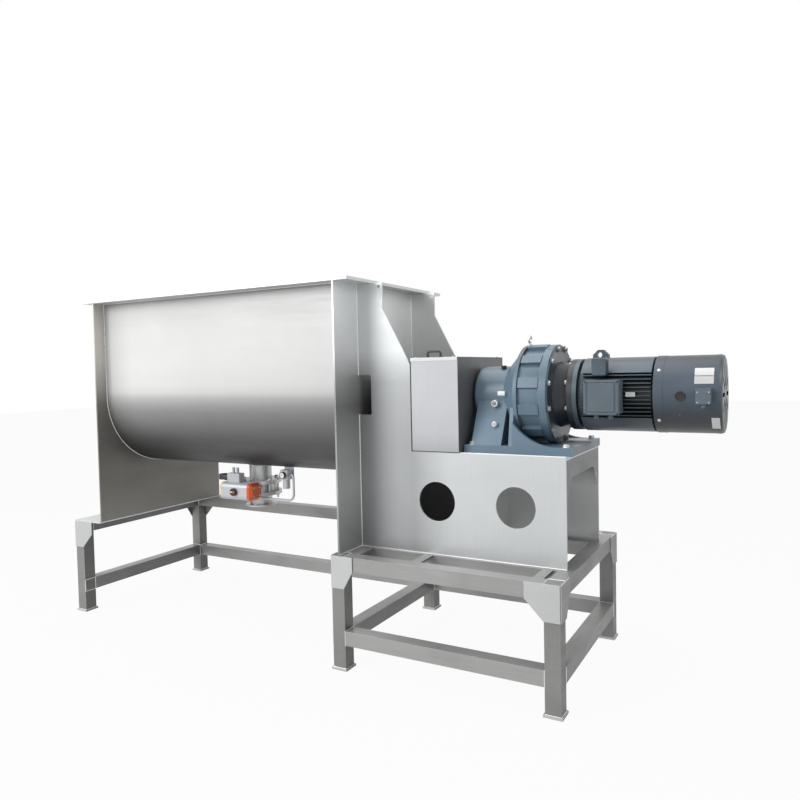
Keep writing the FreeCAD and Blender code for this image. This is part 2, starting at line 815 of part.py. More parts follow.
def makeEyebolt():
    """A lifting eye screwed into the top of the ring flange."""
    x = flareEnd + ringFlangeThick / 2
    base = shaftHeight + ringFlangeRadius - eyeboltSeat
    collar = rod(Vec(x, 0, base), zAxis, eyeboltCollar, eyeboltNeck)
    middle = Vec(x - eyeboltHalf, 0, base + eyeboltNeck + eyeboltRing)
    ring = rod(middle, xAxis, eyeboltRing + eyeboltRod, 2 * eyeboltHalf)
    hole = rod(middle, xAxis, eyeboltRing - eyeboltRod, 2 * eyeboltHalf)
    return joined([collar, ring]).cut(hole)


def makeReducerFittings():
    """The oil sight glass on the barrel and the drain plug on the pedestal."""
    start = Vec(glassPlace, -barrelRadius - glassStandOff, shaftHeight - glassDrop)
    glass = rod(start, yAxis, glassRadius, glassLength).cut(rod(start, yAxis, glassWindow, glassRecess))
    start = Vec(plugPlace, -footHalfWidth + plugInset, shaftHeight - plugDrop)
    plug = rod(start, yAxis, plugRadius, plugLength)
    return Part.makeCompound([glass, plug])


# ---------------------------------------------------------------- motor
def makeMotorBody():
    """Flange, end shield and a stator whose sides carry level fins between two smooth bands."""
    bore = motorShaftRadius + runFit
    flange = motorStart + shieldFlange
    shield = turned([(motorStart, bore), (motorStart, motorFlangeRadius), (flange, motorFlangeRadius),
                     (flange + shieldStep, shieldRadius), (statorStart, shieldRadius), (statorStart, bore)])
    full = shaftRod(statorStart, statorEnd, statorRadius)
    core = shaftRod(statorStart, statorEnd, statorCore)
    bands = []
    for side in (-1, 1):
        low = shaftHeight + (bandHalfHeight if side > 0 else -statorRadius)
        bands.append(box(statorStart, statorEnd, -statorRadius, statorRadius, low,
                         low + statorRadius - bandHalfHeight))
    count = int(bandHalfHeight / finPitch)
    fins = []
    for i in range(-count, count + 1):
        low = shaftHeight + i * finPitch - finThick / 2
        fin = box(statorStart + finSetback, statorEnd, -statorRadius, statorRadius, low, low + finThick)
        fins.append(fin)
    finned = full.common(Part.makeCompound(bands + fins))
    eye = makeMotorEye()
    body = joined([shield, core] + finned.Solids + [eye])
    cavity = shaftRod(statorStart, statorEnd, rotorRadius + rotorGap)
    return body.cut(cavity).cut(shaftRod(motorStart, statorStart, bore))


def makeMotorEye():
    top = shaftHeight + eyeTop
    low = shaftHeight + statorRadius - eyeRoot
    side = top - eyeShoulder
    x1 = eyeStart + eyeLength
    block = prism([Vec(x, -eyeHalfWidth, z) for x, z in (
        (eyeStart, low), (x1, low), (x1, side), (x1 - eyeShoulder, top), (eyeStart + eyeShoulder, top),
        (eyeStart, side))], Vec(0, 2 * eyeHalfWidth, 0))
    start = Vec(eyeStart + eyeLength / 2 - eyeHoleBack, -eyeHalfWidth, side)
    return block.cut(rod(start, yAxis, eyeHole, 2 * eyeHalfWidth))


def makeTerminalBox():
    middle = shaftHeight - boxDrop
    z0 = middle - boxHeight / 2 + boxLidLip
    z1 = middle + boxHeight / 2 - boxLidLip
    x0 = boxStart + boxLidLip
    x1 = boxStart + boxLength - boxLidLip
    body = box(x0, x1, -boxFace + boxLidThick, -statorRadius + boxRoot, z0, z1)
    body = body.cut(shaftRod(x0, x1, statorRadius + boxSeatGap))
    lid = box(boxStart, boxStart + boxLength, -boxFace, -boxFace + boxLidThick,
              middle - boxHeight / 2, middle + boxHeight / 2)
    rear = [e for e in lid.Edges if abs(e.Length - boxLidThick) < 1e-6]
    lid = lid.makeFillet(boxLidCorner, rear)
    glands = []
    for share in glandPlaces:
        start = Vec(boxStart + boxLength * share, -boxFace + glandInset, z0 - glandLength)
        glands.append(rod(start, zAxis, glandRadius, glandLength))
    return Part.makeCompound([joined([body] + glands), lid])


def cowlProfile(x1, radius, edge):
    """Half section of a drum whose far edge is eased by two slopes."""
    ease = cowlEase * edge
    return [(cowlStart, 0), (cowlStart, radius), (x1 - edge, radius), (x1 - ease, radius - ease),
            (x1, radius - edge), (x1, 0)]


def makeFanCowl():
    """A thin drum with an eased far edge and a slotted end."""
    outer = turned(cowlProfile(cowlEnd, cowlRadius, cowlEdge))
    inner = turned(cowlProfile(cowlEnd - cowlWall, cowlRadius - cowlWall, cowlEdge))
    shell = outer.cut(inner)
    slots = []
    for i in range(grilleSlots):
        slot = box(cowlEnd - cowlWall, cowlEnd, -grilleBars, grilleBars,
                   shaftHeight + grilleInner, shaftHeight + grilleOuter)
        slots.append(slot.rotate(Vec(0, 0, shaftHeight), xAxis, 360.0 / grilleSlots * i))
    return shell.cut(slots)


def makeMotorShaft():
    return joined([shaftRod(ringEnd - motorShaftEntry, statorStart + rotorInset, motorShaftRadius),
                   shaftRod(statorStart + rotorInset, statorEnd - rotorInset, rotorRadius),
                   shaftRod(statorEnd - rotorInset, cowlEnd - fanInset, motorShaftRadius)])


def makeFan():
    x1 = cowlEnd - fanInset
    x0 = x1 - fanWidth
    pieces = [shaftRod(x0, x1, fanHub), shaftRod(x0, x0 + fanDisc, fanRadius)]
    for i in range(fanBlades):
        blade = box(x0, x1, -fanBladeThick / 2, fanBladeThick / 2,
                    shaftHeight + fanHub - fanRoot, shaftHeight + fanRadius)
        pieces.append(blade.rotate(Vec(0, 0, shaftHeight), xAxis, 360.0 / fanBlades * i))
    return joined(pieces).cut(shaftRod(x0, x1, motorShaftRadius))


def makeVentBox():
    low = shaftHeight - ventBoxHeight / 2
    x1 = ventBoxStart + ventBoxLength
    body = box(ventBoxStart, x1, -ventBoxFace, -cowlRadius + ventBoxRoot, low, low + ventBoxHeight)
    start = Vec(ventBoxStart + ventBoxLength / 2, -ventBoxFace + ventGlandInset, low - ventGlandLength)
    gland = rod(start, zAxis, ventGlandRadius, ventGlandLength)
    return joined([body, gland]).cut(shaftRod(ventBoxStart, x1, cowlRadius))


# ---------------------------------------------------------------- outlet and valve
def makeOutletNeck():
    """The tube from the trough's lowest line down to the valve, with its flange."""
    z0 = valveHeight + valveHalfHeight
    start = Vec(outletOffset, 0, z0)
    neck = joined([rod(start, zAxis, neckTubeRadius, shaftHeight - z0),
                   rod(start, zAxis, pipeFlangeRadius, pipeFlangeThick)])
    neck = neck.cut(rod(start, zAxis, neckBore, shaftHeight - z0))
    trough = shaftRod(outletOffset - pipeFlangeRadius, outletOffset + pipeFlangeRadius, troughRadius)
    return neck.cut(trough)


def makeValveBody():
    """The ring between the flanges, with the neck that carries the actuator in front of it."""
    start = Vec(outletOffset, 0, valveHeight - valveHalfHeight)
    ring = rod(start, zAxis, valveBodyRadius, 2 * valveHalfHeight)
    saddle = rod(Vec(outletOffset, actuatorBack, valveHeight), yAxis, bracketStemRadius, -actuatorBack)
    body = joined([ring, saddle])
    body = body.cut(rod(start, zAxis, seatRadius, 2 * valveHalfHeight))
    return body.cut(rod(Vec(outletOffset, -actuatorFace, valveHeight), yAxis, stemRadius + runFit,
                        actuatorFace + valveBodyRadius - stemBlind))


def makeSpout():
    """The outlet tube under the valve: a plain flange at its top and a drilled one at its foot."""
    z1 = valveHeight - valveHalfHeight
    z0 = z1 - spoutLength
    start = Vec(outletOffset, 0, z0)
    upper = Vec(outletOffset, 0, z1 - pipeFlangeThick)
    spout = joined([rod(start, zAxis, neckTubeRadius, spoutLength),
                    rod(start, zAxis, spoutFlangeRadius, spoutFlangeThick),
                    rod(upper, zAxis, pipeFlangeRadius, pipeFlangeThick)])
    spout = spout.cut(rod(start, zAxis, neckBore, spoutLength))
    for i in range(spoutBolts):
        turn = math.radians(360.0 / spoutBolts * (i + 0.5))
        place = start + Vec(spoutBoltCircle * math.cos(turn), spoutBoltCircle * math.sin(turn), 0)
        spout = spout.cut(rod(place, zAxis, spoutBoltRadius, spoutFlangeThick))
    return spout


def makeValveDisc():
    """The flap, closed and level, with its stem through the actuator."""
    radius = seatRadius - discGap
    disc = rod(Vec(outletOffset, 0, valveHeight - discThick / 2), zAxis, radius, discThick)
    hub = rod(Vec(outletOffset, -radius, valveHeight), yAxis, stemRadius, 2 * radius)
    stem = rod(Vec(outletOffset, -actuatorFace, valveHeight), yAxis, stemRadius,
               actuatorFace + valveBodyRadius - stemBlind - stemEndGap)
    return joined([disc, hub, stem])


def makeActuatorBody():
    half = actuatorBodyLength / 2
    y0 = -actuatorFace
    block = box(outletOffset - half, outletOffset + half, y0, y0 + actuatorDepth,
                valveHeight - actuatorHeight / 2, valveHeight + actuatorHeight / 2)
    long = [e for e in block.Edges if abs(e.Length - actuatorBodyLength) < 1e-6]
    block = block.makeFillet(actuatorCorner, long)
    return block.cut(rod(Vec(outletOffset, y0, valveHeight), yAxis, stemRadius + runFit, actuatorDepth))


def makeActuatorCaps():
    """The two end caps: the body's section, with the outer end bevelled."""
    caps = []
    for side in (-1, 1):
        x0 = outletOffset + side * actuatorBodyLength / 2
        x1 = x0 + side * actuatorCapLength
        cap = box(min(x0, x1), max(x0, x1), -actuatorFace, actuatorBack,
                  valveHeight - actuatorHeight / 2, valveHeight + actuatorHeight / 2)
        long = [e for e in cap.Edges if abs(e.Length - actuatorCapLength) < 1e-6]
        cap = cap.makeFillet(actuatorCorner, long)
        outer = [e for e in cap.Edges if abs(e.CenterOfMass.x - x1) < 1e-6]
        caps.append(cap.makeChamfer(actuatorCapEase, outer))
    return Part.makeCompound(caps)


def makeIndicator():
    return rod(Vec(outletOffset, -actuatorFace - indicatorHeight, valveHeight), yAxis,
               indicatorRadius, indicatorHeight)


# ---------------------------------------------------------------- air fittings
def makeSolenoidValve():
    """The valve block on top of the actuator, its coil with a plug head, and two silencers."""
    x0 = outletOffset + solenoidOffset - solenoidLength / 2
    x1 = x0 + solenoidLength
    y0 = -actuatorFace + (actuatorDepth - solenoidDepth) / 2
    y1 = y0 + solenoidDepth
    z0 = valveHeight + actuatorHeight / 2
    z1 = z0 + solenoidHeight
    middle = Vec(x0 - coilLength, (y0 + y1) / 2, z0 + solenoidHeight / 2)
    block = box(x0, x1, y0, y1, z0, z1)
    coil = rod(middle, xAxis, coilRadius, coilLength)
    half = plugHeadSize / 2
    head = box(middle.x - plugHeadLength, middle.x, middle.y - half, middle.y + half,
               middle.z - half, middle.z + half)
    pieces = [block, coil, head]
    for x in (x0 + solenoidLength / 3, x1 - solenoidLength / 3):
        pieces.append(rod(Vec(x, middle.y, z1), zAxis, silencerRadius, silencerLength))
    return joined(pieces)


def bentPipe(points, bends, radius):
    """An eight-sided pipe in an xz plane, with a tangent bend of the given radius at each inner point."""
    pieces = []
    last = points[0]

    def section(place, direction):
        side = yAxis.cross(direction)
        corners = []
        for i in range(8):
            turn = math.radians(45 * i + 22.5)
            corners.append(place + side * (radius * math.cos(turn)) + yAxis * (radius * math.sin(turn)))
        return Part.Face(Part.makePolygon(corners + [corners[0]]))
    for before, corner, after, bend in zip(points, points[1:], points[2:], bends):
        inward = (corner - before).normalize()
        outward = (after - corner).normalize()
        turn = inward.getAngle(outward)
        back = bend * math.tan(turn / 2)
        start = corner - inward * back
        centre = corner + (outward - inward).normalize() * math.hypot(bend, back)
        pieces += [section(last, inward).extrude(start - last),
                   section(start, inward).revolve(centre, inward.cross(outward), math.degrees(turn))]
        last = corner + outward * back
    end = points[-1] - last
    pieces.append(section(last, Vec(end).normalize()).extrude(end))
    return joined(pieces)


def makeAirUnits():
    """The pressure regulator under the trough, and the pipe from it to the actuator's back."""
    x = outletOffset + airUnitPlace
    left = x - airUnitSize / 2
    right = x + airUnitSize / 2
    y0 = -airUnitFace
    y1 = y0 + airUnitDepth
    z0 = valveHeight + airUnitDrop
    z1 = z0 + airUnitSize
    centre = Vec(x, (y0 + y1) / 2, (z0 + z1) / 2)
    unit = joined([box(left, right, y0, y1, z0, z1),
                   rod(Vec(x, centre.y, z0 - bowlLength), zAxis, bowlRadius, bowlLength),
                   rod(Vec(x, y0 - gaugeLength, centre.z), yAxis, gaugeRadius, gaugeLength)])
    hanger = box(left - airBracketLip, right + airBracketLip, y1, y1 + airBracketThick, z0, shaftHeight)
    hanger = hanger.cut(shaftRod(left - airBracketLip, right + airBracketLip, troughRadius))
    port = outletOffset + airPortPlace
    half = airPortSize / 2
    block = box(port - half, port + half, actuatorBack, actuatorBack + airPortLength,
                valveHeight - half, valveHeight + half)
    fall = right + airPipeLead
    low = valveHeight - airPipeDrop
    route = [Vec(right, centre.y, centre.z), Vec(fall, centre.y, centre.z), Vec(fall, centre.y, low),
             Vec(port, centre.y, low), Vec(port, centre.y, valveHeight - half)]
    pipe = bentPipe(route, (airElbowBend, airPipeBend, airElbowBend), airPipeRadius)
    return Part.makeCompound([unit, hanger, block, pipe])


# ---------------------------------------------------------------- assembly
def makeTrough():
    save("trough_shell", makeTroughShell())
    save("tail_end_plate", makeEndPlate(tailFace, frameTop + deckThick))
    save("drive_end_plate", makeEndPlate(driveInner, frameTop))
    save("top_rim", makeRim())


def makeDriveStand():
    save("front_cheek", makeFrontCheek())
    save("rear_cheek", mirroredY(makeCheek()))
    save("drive_top_plate", makeDriveTop())
    save("drive_end_apron", makeApron())
    save("compartment_partition", makePartition())
    save("shaft_guard", makeGuard())
    save("guard_handle", makeGuardHandle())


def makeRotor():
    outer = makeRibbons(troughInner - ribbonGap, outerRibbonWidth, 1)
    inner = makeRibbons(innerRibbonRadius, innerRibbonWidth, -1)
    save("outer_ribbons", Part.makeCompound(outer))
    save("inner_ribbons", Part.makeCompound(inner))
    save("ribbon_arms", makeArms())
    save("main_shaft", makeMainShaft())


def makeDriveLine():
    save("tail_seal_housing", makeSeal(tailFace, -1))
    save("drive_seal_housing", makeSeal(0, 1))
    save("tail_bearing_bracket", makeTailBracket())
    save("tail_bearing", makeBearing(tailFace - bracketReach, -1))
    save("drive_bearing_bridge", makeBridge())
    save("drive_bearing", makeBearing(bridgePlace + bridgeThick, 1))
    save("shaft_coupling_half", makeCouplingHalf(driveShaftEnd, -1, journalRadius))
    save("reducer_coupling_half", makeCouplingHalf(driveShaftEnd + couplingGap, 1, outputRadius))
    start = driveShaftEnd + couplingGap
    save("reducer_output_shaft", shaftRod(start, reducerStart + outputBearingDepth, outputRadius))


def makeReducer():
    eyebolt = makeEyebolt()
    fittings = makeReducerFittings()
    save("reducer_housing", makeReducerHousing().cut([eyebolt, fittings]))
    save("ring_housing", makeRingHousing())
    save("ring_bolts", makeBolts())
    save("motor_adapter", makeAdapter())
    save("reducer_eyebolt", eyebolt)
    save("reducer_fittings", fittings)


def makeMotor():
    save("motor_body", makeMotorBody())
    save("terminal_box", makeTerminalBox())
    save("fan_cowl", makeFanCowl())
    save("motor_shaft", makeMotorShaft())
    save("cooling_fan", makeFan())
    save("fan_terminal_box", makeVentBox())


def makeOutlet():
    save("outlet_neck", makeOutletNeck())
    save("valve_body", makeValveBody())
    save("outlet_spout", makeSpout())
    save("valve_disc", makeValveDisc())
    save("actuator_body", makeActuatorBody())
    save("actuator_caps", makeActuatorCaps())
    save("position_indicator", makeIndicator())
    save("solenoid_valve", makeSolenoidValve())
    save("air_service_units", makeAirUnits())


def main():
    os.makedirs("parts", exist_ok=True)
    groups = (makeFrame, makeTrough, makeDriveStand, makeRotor,
              makeDriveLine, makeReducer, makeMotor, makeOutlet)
    for make in groups:
        make()
    for name, shape in parts.items():
        shape.translate(Vec(centreShift, 0, 0))
        shape.exportStep("parts/" + name + ".step")
    print(len(parts), "parts")


main()
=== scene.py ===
import json
import math
import random

import bmesh
import bpy
from mathutils import Matrix, Vector


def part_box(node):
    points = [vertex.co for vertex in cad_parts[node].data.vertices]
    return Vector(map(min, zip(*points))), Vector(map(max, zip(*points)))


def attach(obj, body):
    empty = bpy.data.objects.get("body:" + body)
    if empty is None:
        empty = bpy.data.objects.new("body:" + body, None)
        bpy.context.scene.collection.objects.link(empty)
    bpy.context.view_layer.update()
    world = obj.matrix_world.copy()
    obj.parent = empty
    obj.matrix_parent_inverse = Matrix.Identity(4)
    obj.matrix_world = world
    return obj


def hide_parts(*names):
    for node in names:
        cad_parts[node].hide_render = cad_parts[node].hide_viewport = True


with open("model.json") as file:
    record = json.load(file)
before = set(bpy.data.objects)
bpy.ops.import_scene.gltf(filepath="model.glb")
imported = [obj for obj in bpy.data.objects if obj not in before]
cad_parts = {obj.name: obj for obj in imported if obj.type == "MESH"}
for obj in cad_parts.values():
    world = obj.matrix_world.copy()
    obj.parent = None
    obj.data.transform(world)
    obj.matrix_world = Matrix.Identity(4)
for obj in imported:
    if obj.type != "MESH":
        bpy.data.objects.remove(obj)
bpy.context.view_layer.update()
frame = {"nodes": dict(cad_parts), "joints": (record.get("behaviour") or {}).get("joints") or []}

nodes = frame["nodes"]
scene = bpy.context.scene
print("frame loaded:", len(nodes), "nodes")

shaft = next(j for j in frame["joints"] if j["name"] == "rotor_spin")["pos_m"]
shaftZ = shaft[2]
low = {name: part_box(name)[0] for name in nodes}
high = {name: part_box(name)[1] for name in nodes}
endFace = high["drive_end_plate"].x      # the drive end plate's outer face, where the drive stand starts
signs = ((-1, -1), (-1, 1), (1, -1), (1, 1))
random.seed(4)


def middleOf(name):
    return (low[name] + high[name]) / 2


def circleOf(count, radius, start=0.0):
    # Points evenly round a circle, as pairs; start is in degrees.
    return [(radius * math.cos(a), radius * math.sin(a))
            for a in (math.radians(start) + 2 * math.pi * i / count for i in range(count))]


# Materials are built from a few helpers: a shader, stretched noise, and a ramp between two values.

def clearedTree(owner):
    owner.use_nodes = True
    owner.node_tree.nodes.clear()
    return owner.node_tree


def newShader(name):
    material = bpy.data.materials.new(name)
    tree = clearedTree(material)
    output = tree.nodes.new("ShaderNodeOutputMaterial")
    shader = tree.nodes.new("ShaderNodeBsdfPrincipled")
    tree.links.new(shader.outputs[0], output.inputs[0])
    return material, tree, shader


def objectPoint(tree, stretch=(1, 1, 1)):
    coords = tree.nodes.new("ShaderNodeTexCoord")
    mapping = tree.nodes.new("ShaderNodeMapping")
    mapping.inputs["Scale"].default_value = stretch
    tree.links.new(coords.outputs["Object"], mapping.inputs["Vector"])
    return mapping.outputs[0]


def noise(tree, scale, stretch=(1, 1, 1), detail=3.0, distortion=0.0):
    node = tree.nodes.new("ShaderNodeTexNoise")
    node.inputs["Scale"].default_value = scale
    node.inputs["Detail"].default_value = detail
    node.inputs["Distortion"].default_value = distortion
    tree.links.new(objectPoint(tree, stretch), node.inputs["Vector"])
    return node.outputs["Fac"]


def remap(tree, value, fromLow, fromHigh, toLow, toHigh):
    node = tree.nodes.new("ShaderNodeMapRange")
    tree.links.new(value, node.inputs["Value"])
    for key, number in (("From Min", fromLow), ("From Max", fromHigh), ("To Min", toLow), ("To Max", toHigh)):
        node.inputs[key].default_value = number
    return node.outputs[0]


def feed(tree, socket, value):
    # Sets a number or a colour on a socket, or links another node's output to it.
    if isinstance(value, (int, float)):
        socket.default_value = value
    elif isinstance(value, tuple):
        socket.default_value = (*value, 1)
    else:
        tree.links.new(value, socket)


def calculate(tree, operation, first, second):
    node = tree.nodes.new("ShaderNodeMath")
    node.operation = operation
    feed(tree, node.inputs[0], first)
    feed(tree, node.inputs[1], second)
    return node.outputs[0]


def blendColour(tree, share, first, second, mode="MIX"):
    node = tree.nodes.new("ShaderNodeMix")
    node.data_type = "RGBA"
    node.blend_type = mode
    for place, value in ((0, share), (6, first), (7, second)):
        feed(tree, node.inputs[place], value)
    return node.outputs[2]


def axisHeight(tree, axis):
    split = tree.nodes.new("ShaderNodeSeparateXYZ")
    tree.links.new(objectPoint(tree), split.inputs[0])
    return split.outputs[axis]


def greyRamp(tree, value, stops):
    # A smooth run of grey factors: stops are (position, factor), in order.
    ramp = tree.nodes.new("ShaderNodeValToRGB")
    first, last = stops[0][0], stops[-1][0]
    elements = ramp.color_ramp.elements
    while len(elements) < len(stops):
        elements.new(0.5)
    for element, (position, factor) in zip(elements, stops):
        element.position = (position - first) / (last - first)
        element.color = (factor, factor, factor, 1)
    tree.links.new(remap(tree, value, first, last, 0.0, 1.0), ramp.inputs[0])
    return ramp.outputs[0]


def paintShadeAlong(tree, colour, axis, stops, within=None):
    # Painted shade and light as a grey run along one axis; within is (axis, full, none), the places between which it
    # dies out.
    ramp = greyRamp(tree, axisHeight(tree, axis), stops)
    if within:
        place = axisHeight(tree, within[0])
        ramp = blendColour(tree, remap(tree, place, within[1], within[2], 0.0, 1.0), ramp, (1, 1, 1))
    return blendColour(tree, 1.0, colour, ramp, "MULTIPLY")


def paintedSideShade(tree, colour, factor):
    # Painted shade: faces turned towards the motor end are darkened by the factor, as if they looked onto a dark wall
    # of the shop.
    coords = tree.nodes.new("ShaderNodeTexCoord")
    split = tree.nodes.new("ShaderNodeSeparateXYZ")
    tree.links.new(coords.outputs["Normal"], split.inputs[0])
    share = remap(tree, split.outputs[0], 0.55, 0.95, 0.0, 1.0)
    return blendColour(tree, 1.0, colour, blendColour(tree, share, (1, 1, 1), (factor,) * 3), "MULTIPLY")


def roundedEdgeMask(tree, radius):
    # 1 where a rounded edge would turn away from the flat face beside it.
    bevel = tree.nodes.new("ShaderNodeBevel")
    bevel.samples = 4
    bevel.inputs["Radius"].default_value = radius
    flat = tree.nodes.new("ShaderNodeNewGeometry")
    dot = tree.nodes.new("ShaderNodeVectorMath")
    dot.operation = "DOT_PRODUCT"
    tree.links.new(bevel.outputs[0], dot.inputs[0])
    tree.links.new(flat.outputs["Normal"], dot.inputs[1])
    return remap(tree, dot.outputs["Value"], 0.995, 0.90, 0.0, 1.0), bevel.outputs[0]


def addBump(tree, shader, height, strength, distance, under=None):
    bump = tree.nodes.new("ShaderNodeBump")
    bump.inputs["Strength"].default_value = strength
    bump.inputs["Distance"].default_value = distance
    tree.links.new(height, bump.inputs["Height"])
    if under:
        tree.links.new(under, bump.inputs["Normal"])
    tree.links.new(bump.outputs[0], shader.inputs["Normal"])


def brushedSteel(name, metal, grain, rough, smudge, metallic=0.45, paintedShades=(), lineDepth=0.10, edge=0.0015,
                 side=None, grainBump=0.06, lineScale=230.0):
    # Satin stainless: fine parallel grain, cloudy handling marks and bright edges, partly wear and partly a painted
    # highlight.
    material, tree, shader = newShader(name)
    tone = steelTones[metal]
    shader.inputs["Metallic"].default_value = metallic
    lines = noise(tree, lineScale, grains[grain], 4.0)
    clouds = noise(tree, 2.2, detail=5.0, distortion=0.6)
    wipes = noise(tree, 7.0, (0.35, 0.35, 1.6), 4.0, 1.2)
    dark = tuple(c * (1 - smudge) for c in tone)
    colour = blendColour(tree, remap(tree, clouds, 0.35, 0.65, 0.0, 1.0), dark, tone)
    colour = blendColour(tree, remap(tree, wipes, 0.45, 0.75, 0.0, smudge * 2), colour, tuple(c * 0.8 for c in tone))
    colour = blendColour(tree, remap(tree, lines, 0.3, 0.7, 0.0, lineDepth), colour, tuple(c * 0.6 for c in tone))
    # Painted shade and light along the named runs.
    for shadeRun in paintedShades:
        colour = paintShadeAlong(tree, colour, *paintedShadeAndLight[shadeRun])
    # Painted shade on the faces towards the motor end.
    if side:
        colour = paintedSideShade(tree, colour, side)
    edgeMask, eased = roundedEdgeMask(tree, edge)
    # Lightened edges: partly wear, partly a painted highlight.
    bright = tuple(min(1.0, c * 1.25 + 0.05) for c in tone)
    colour = blendColour(tree, calculate(tree, "MULTIPLY", edgeMask, 0.55), colour, bright)
    tree.links.new(colour, shader.inputs["Base Color"])
    base = remap(tree, wipes, 0.3, 0.7, rough[0], rough[1])
    base = calculate(tree, "ADD", base, remap(tree, lines, 0.3, 0.7, -0.04, 0.06))
    tree.links.new(base, shader.inputs["Roughness"])
    addBump(tree, shader, lines, grainBump, 0.0004, eased)
    return material


def enamel(name, colour, rough, grain, dust, paintedShades=(), side=None):
    # Sprayed enamel over a casting: a pebbled skin, slow changes of tone, dust, chips and rubbed edges.
    material, tree, shader = newShader(name)
    clouds = noise(tree, 4.0, detail=4.0, distortion=0.4)
    pebble = noise(tree, 170.0, detail=2.0)
    fine = noise(tree, 620.0, detail=2.0)
    chips = noise(tree, 46.0, detail=6.0)
    dark = tuple(c * 0.88 for c in colour)
    light = tuple(min(1, c * 1.072) for c in colour)
    shown = blendColour(tree, remap(tree, clouds, 0.35, 0.65, 0.0, 1.0), dark, light)
    shown = blendColour(tree, remap(tree, fine, 0.45, 0.75, 0.0, dust), shown, (0.62, 0.61, 0.58))
    # Painted shade and light along the named runs.
    for shadeRun in paintedShades:
        shown = paintShadeAlong(tree, shown, *paintedShadeAndLight[shadeRun])
    # Painted shade on the faces towards the motor end.
    if side:
        shown = paintedSideShade(tree, shown, side)
    edgeMask, eased = roundedEdgeMask(tree, 0.002)
    rubbed = calculate(tree, "MULTIPLY", edgeMask, remap(tree, chips, 0.35, 0.65, 0.15, 0.70))
    pale = tuple(min(1.0, c * 1.9 + 0.03) for c in colour)
    shown = blendColour(tree, rubbed, shown, pale)
    shown = blendColour(tree, remap(tree, chips, 0.745, 0.755, 0.0, 0.7), shown, (0.42, 0.42, 0.40))
    tree.links.new(shown, shader.inputs["Base Color"])
    tree.links.new(remap(tree, clouds, 0.3, 0.7, rough[0], rough[1]), shader.inputs["Roughness"])
    shader.inputs["Coat Weight"].default_value = 0.15
    shader.inputs["Coat Roughness"].default_value = 0.25
    addBump(tree, shader, pebble, grain, 0.0005, eased)
    return material


def moulded(name, colour, rough=0.45):
    # Moulded plastic: an even fine texture with lightly rubbed patches.
    material, tree, shader = newShader(name)
    fine = noise(tree, 900.0, detail=2.0)
    rubbed = noise(tree, 14.0, detail=3.0)
    light = tuple(min(1, c * 1.6 + 0.01) for c in colour)
    shown = blendColour(tree, remap(tree, rubbed, 0.4, 0.7, 0.0, 0.7), colour, light)
    tree.links.new(shown, shader.inputs["Base Color"])
    tree.links.new(remap(tree, rubbed, 0.3, 0.7, rough + 0.08, rough - 0.10), shader.inputs["Roughness"])
    addBump(tree, shader, fine, 0.25, 0.0003)
    return material


def twoToned(name, axis, place, first, second):
    # A sprayed finish that changes colour at a place along one axis; on the solenoid the two colours are its own, on
    # the actuator's caps the pale side is a painted highlight.
    material, tree, shader = newShader(name)
    clouds = noise(tree, 9.0, detail=4.0)
    pebble = noise(tree, 260.0, detail=2.0)
    side = remap(tree, axisHeight(tree, axis), place - 0.0005, place + 0.0005, 0.0, 1.0)
    shown = blendColour(tree, side, first, second)
    edgeMask, eased = roundedEdgeMask(tree, 0.0015)
    shown = blendColour(tree, remap(tree, clouds, 0.35, 0.65, 0.0, 0.12), shown, (0.25, 0.24, 0.22))
    shown = blendColour(tree, calculate(tree, "MULTIPLY", edgeMask, 0.25), shown, (0.85, 0.84, 0.82))
    tree.links.new(shown, shader.inputs["Base Color"])
    tree.links.new(remap(tree, clouds, 0.3, 0.7, 0.28, 0.40), shader.inputs["Roughness"])
    addBump(tree, shader, pebble, 0.20, 0.0003, eased)
    return material


def clearLens(name):
    # A sight glass: faintly green and smeared, under a clear coat.
    material, tree, shader = newShader(name)
    smear = noise(tree, 60.0, detail=3.0)
    shown = blendColour(tree, remap(tree, smear, 0.35, 0.65, 0.0, 1.0), (0.10, 0.13, 0.13), (0.30, 0.36, 0.36))
    tree.links.new(shown, shader.inputs["Base Color"])
    tree.links.new(remap(tree, smear, 0.3, 0.7, 0.05, 0.14), shader.inputs["Roughness"])
    shader.inputs["Coat Weight"].default_value = 0.6
    return material


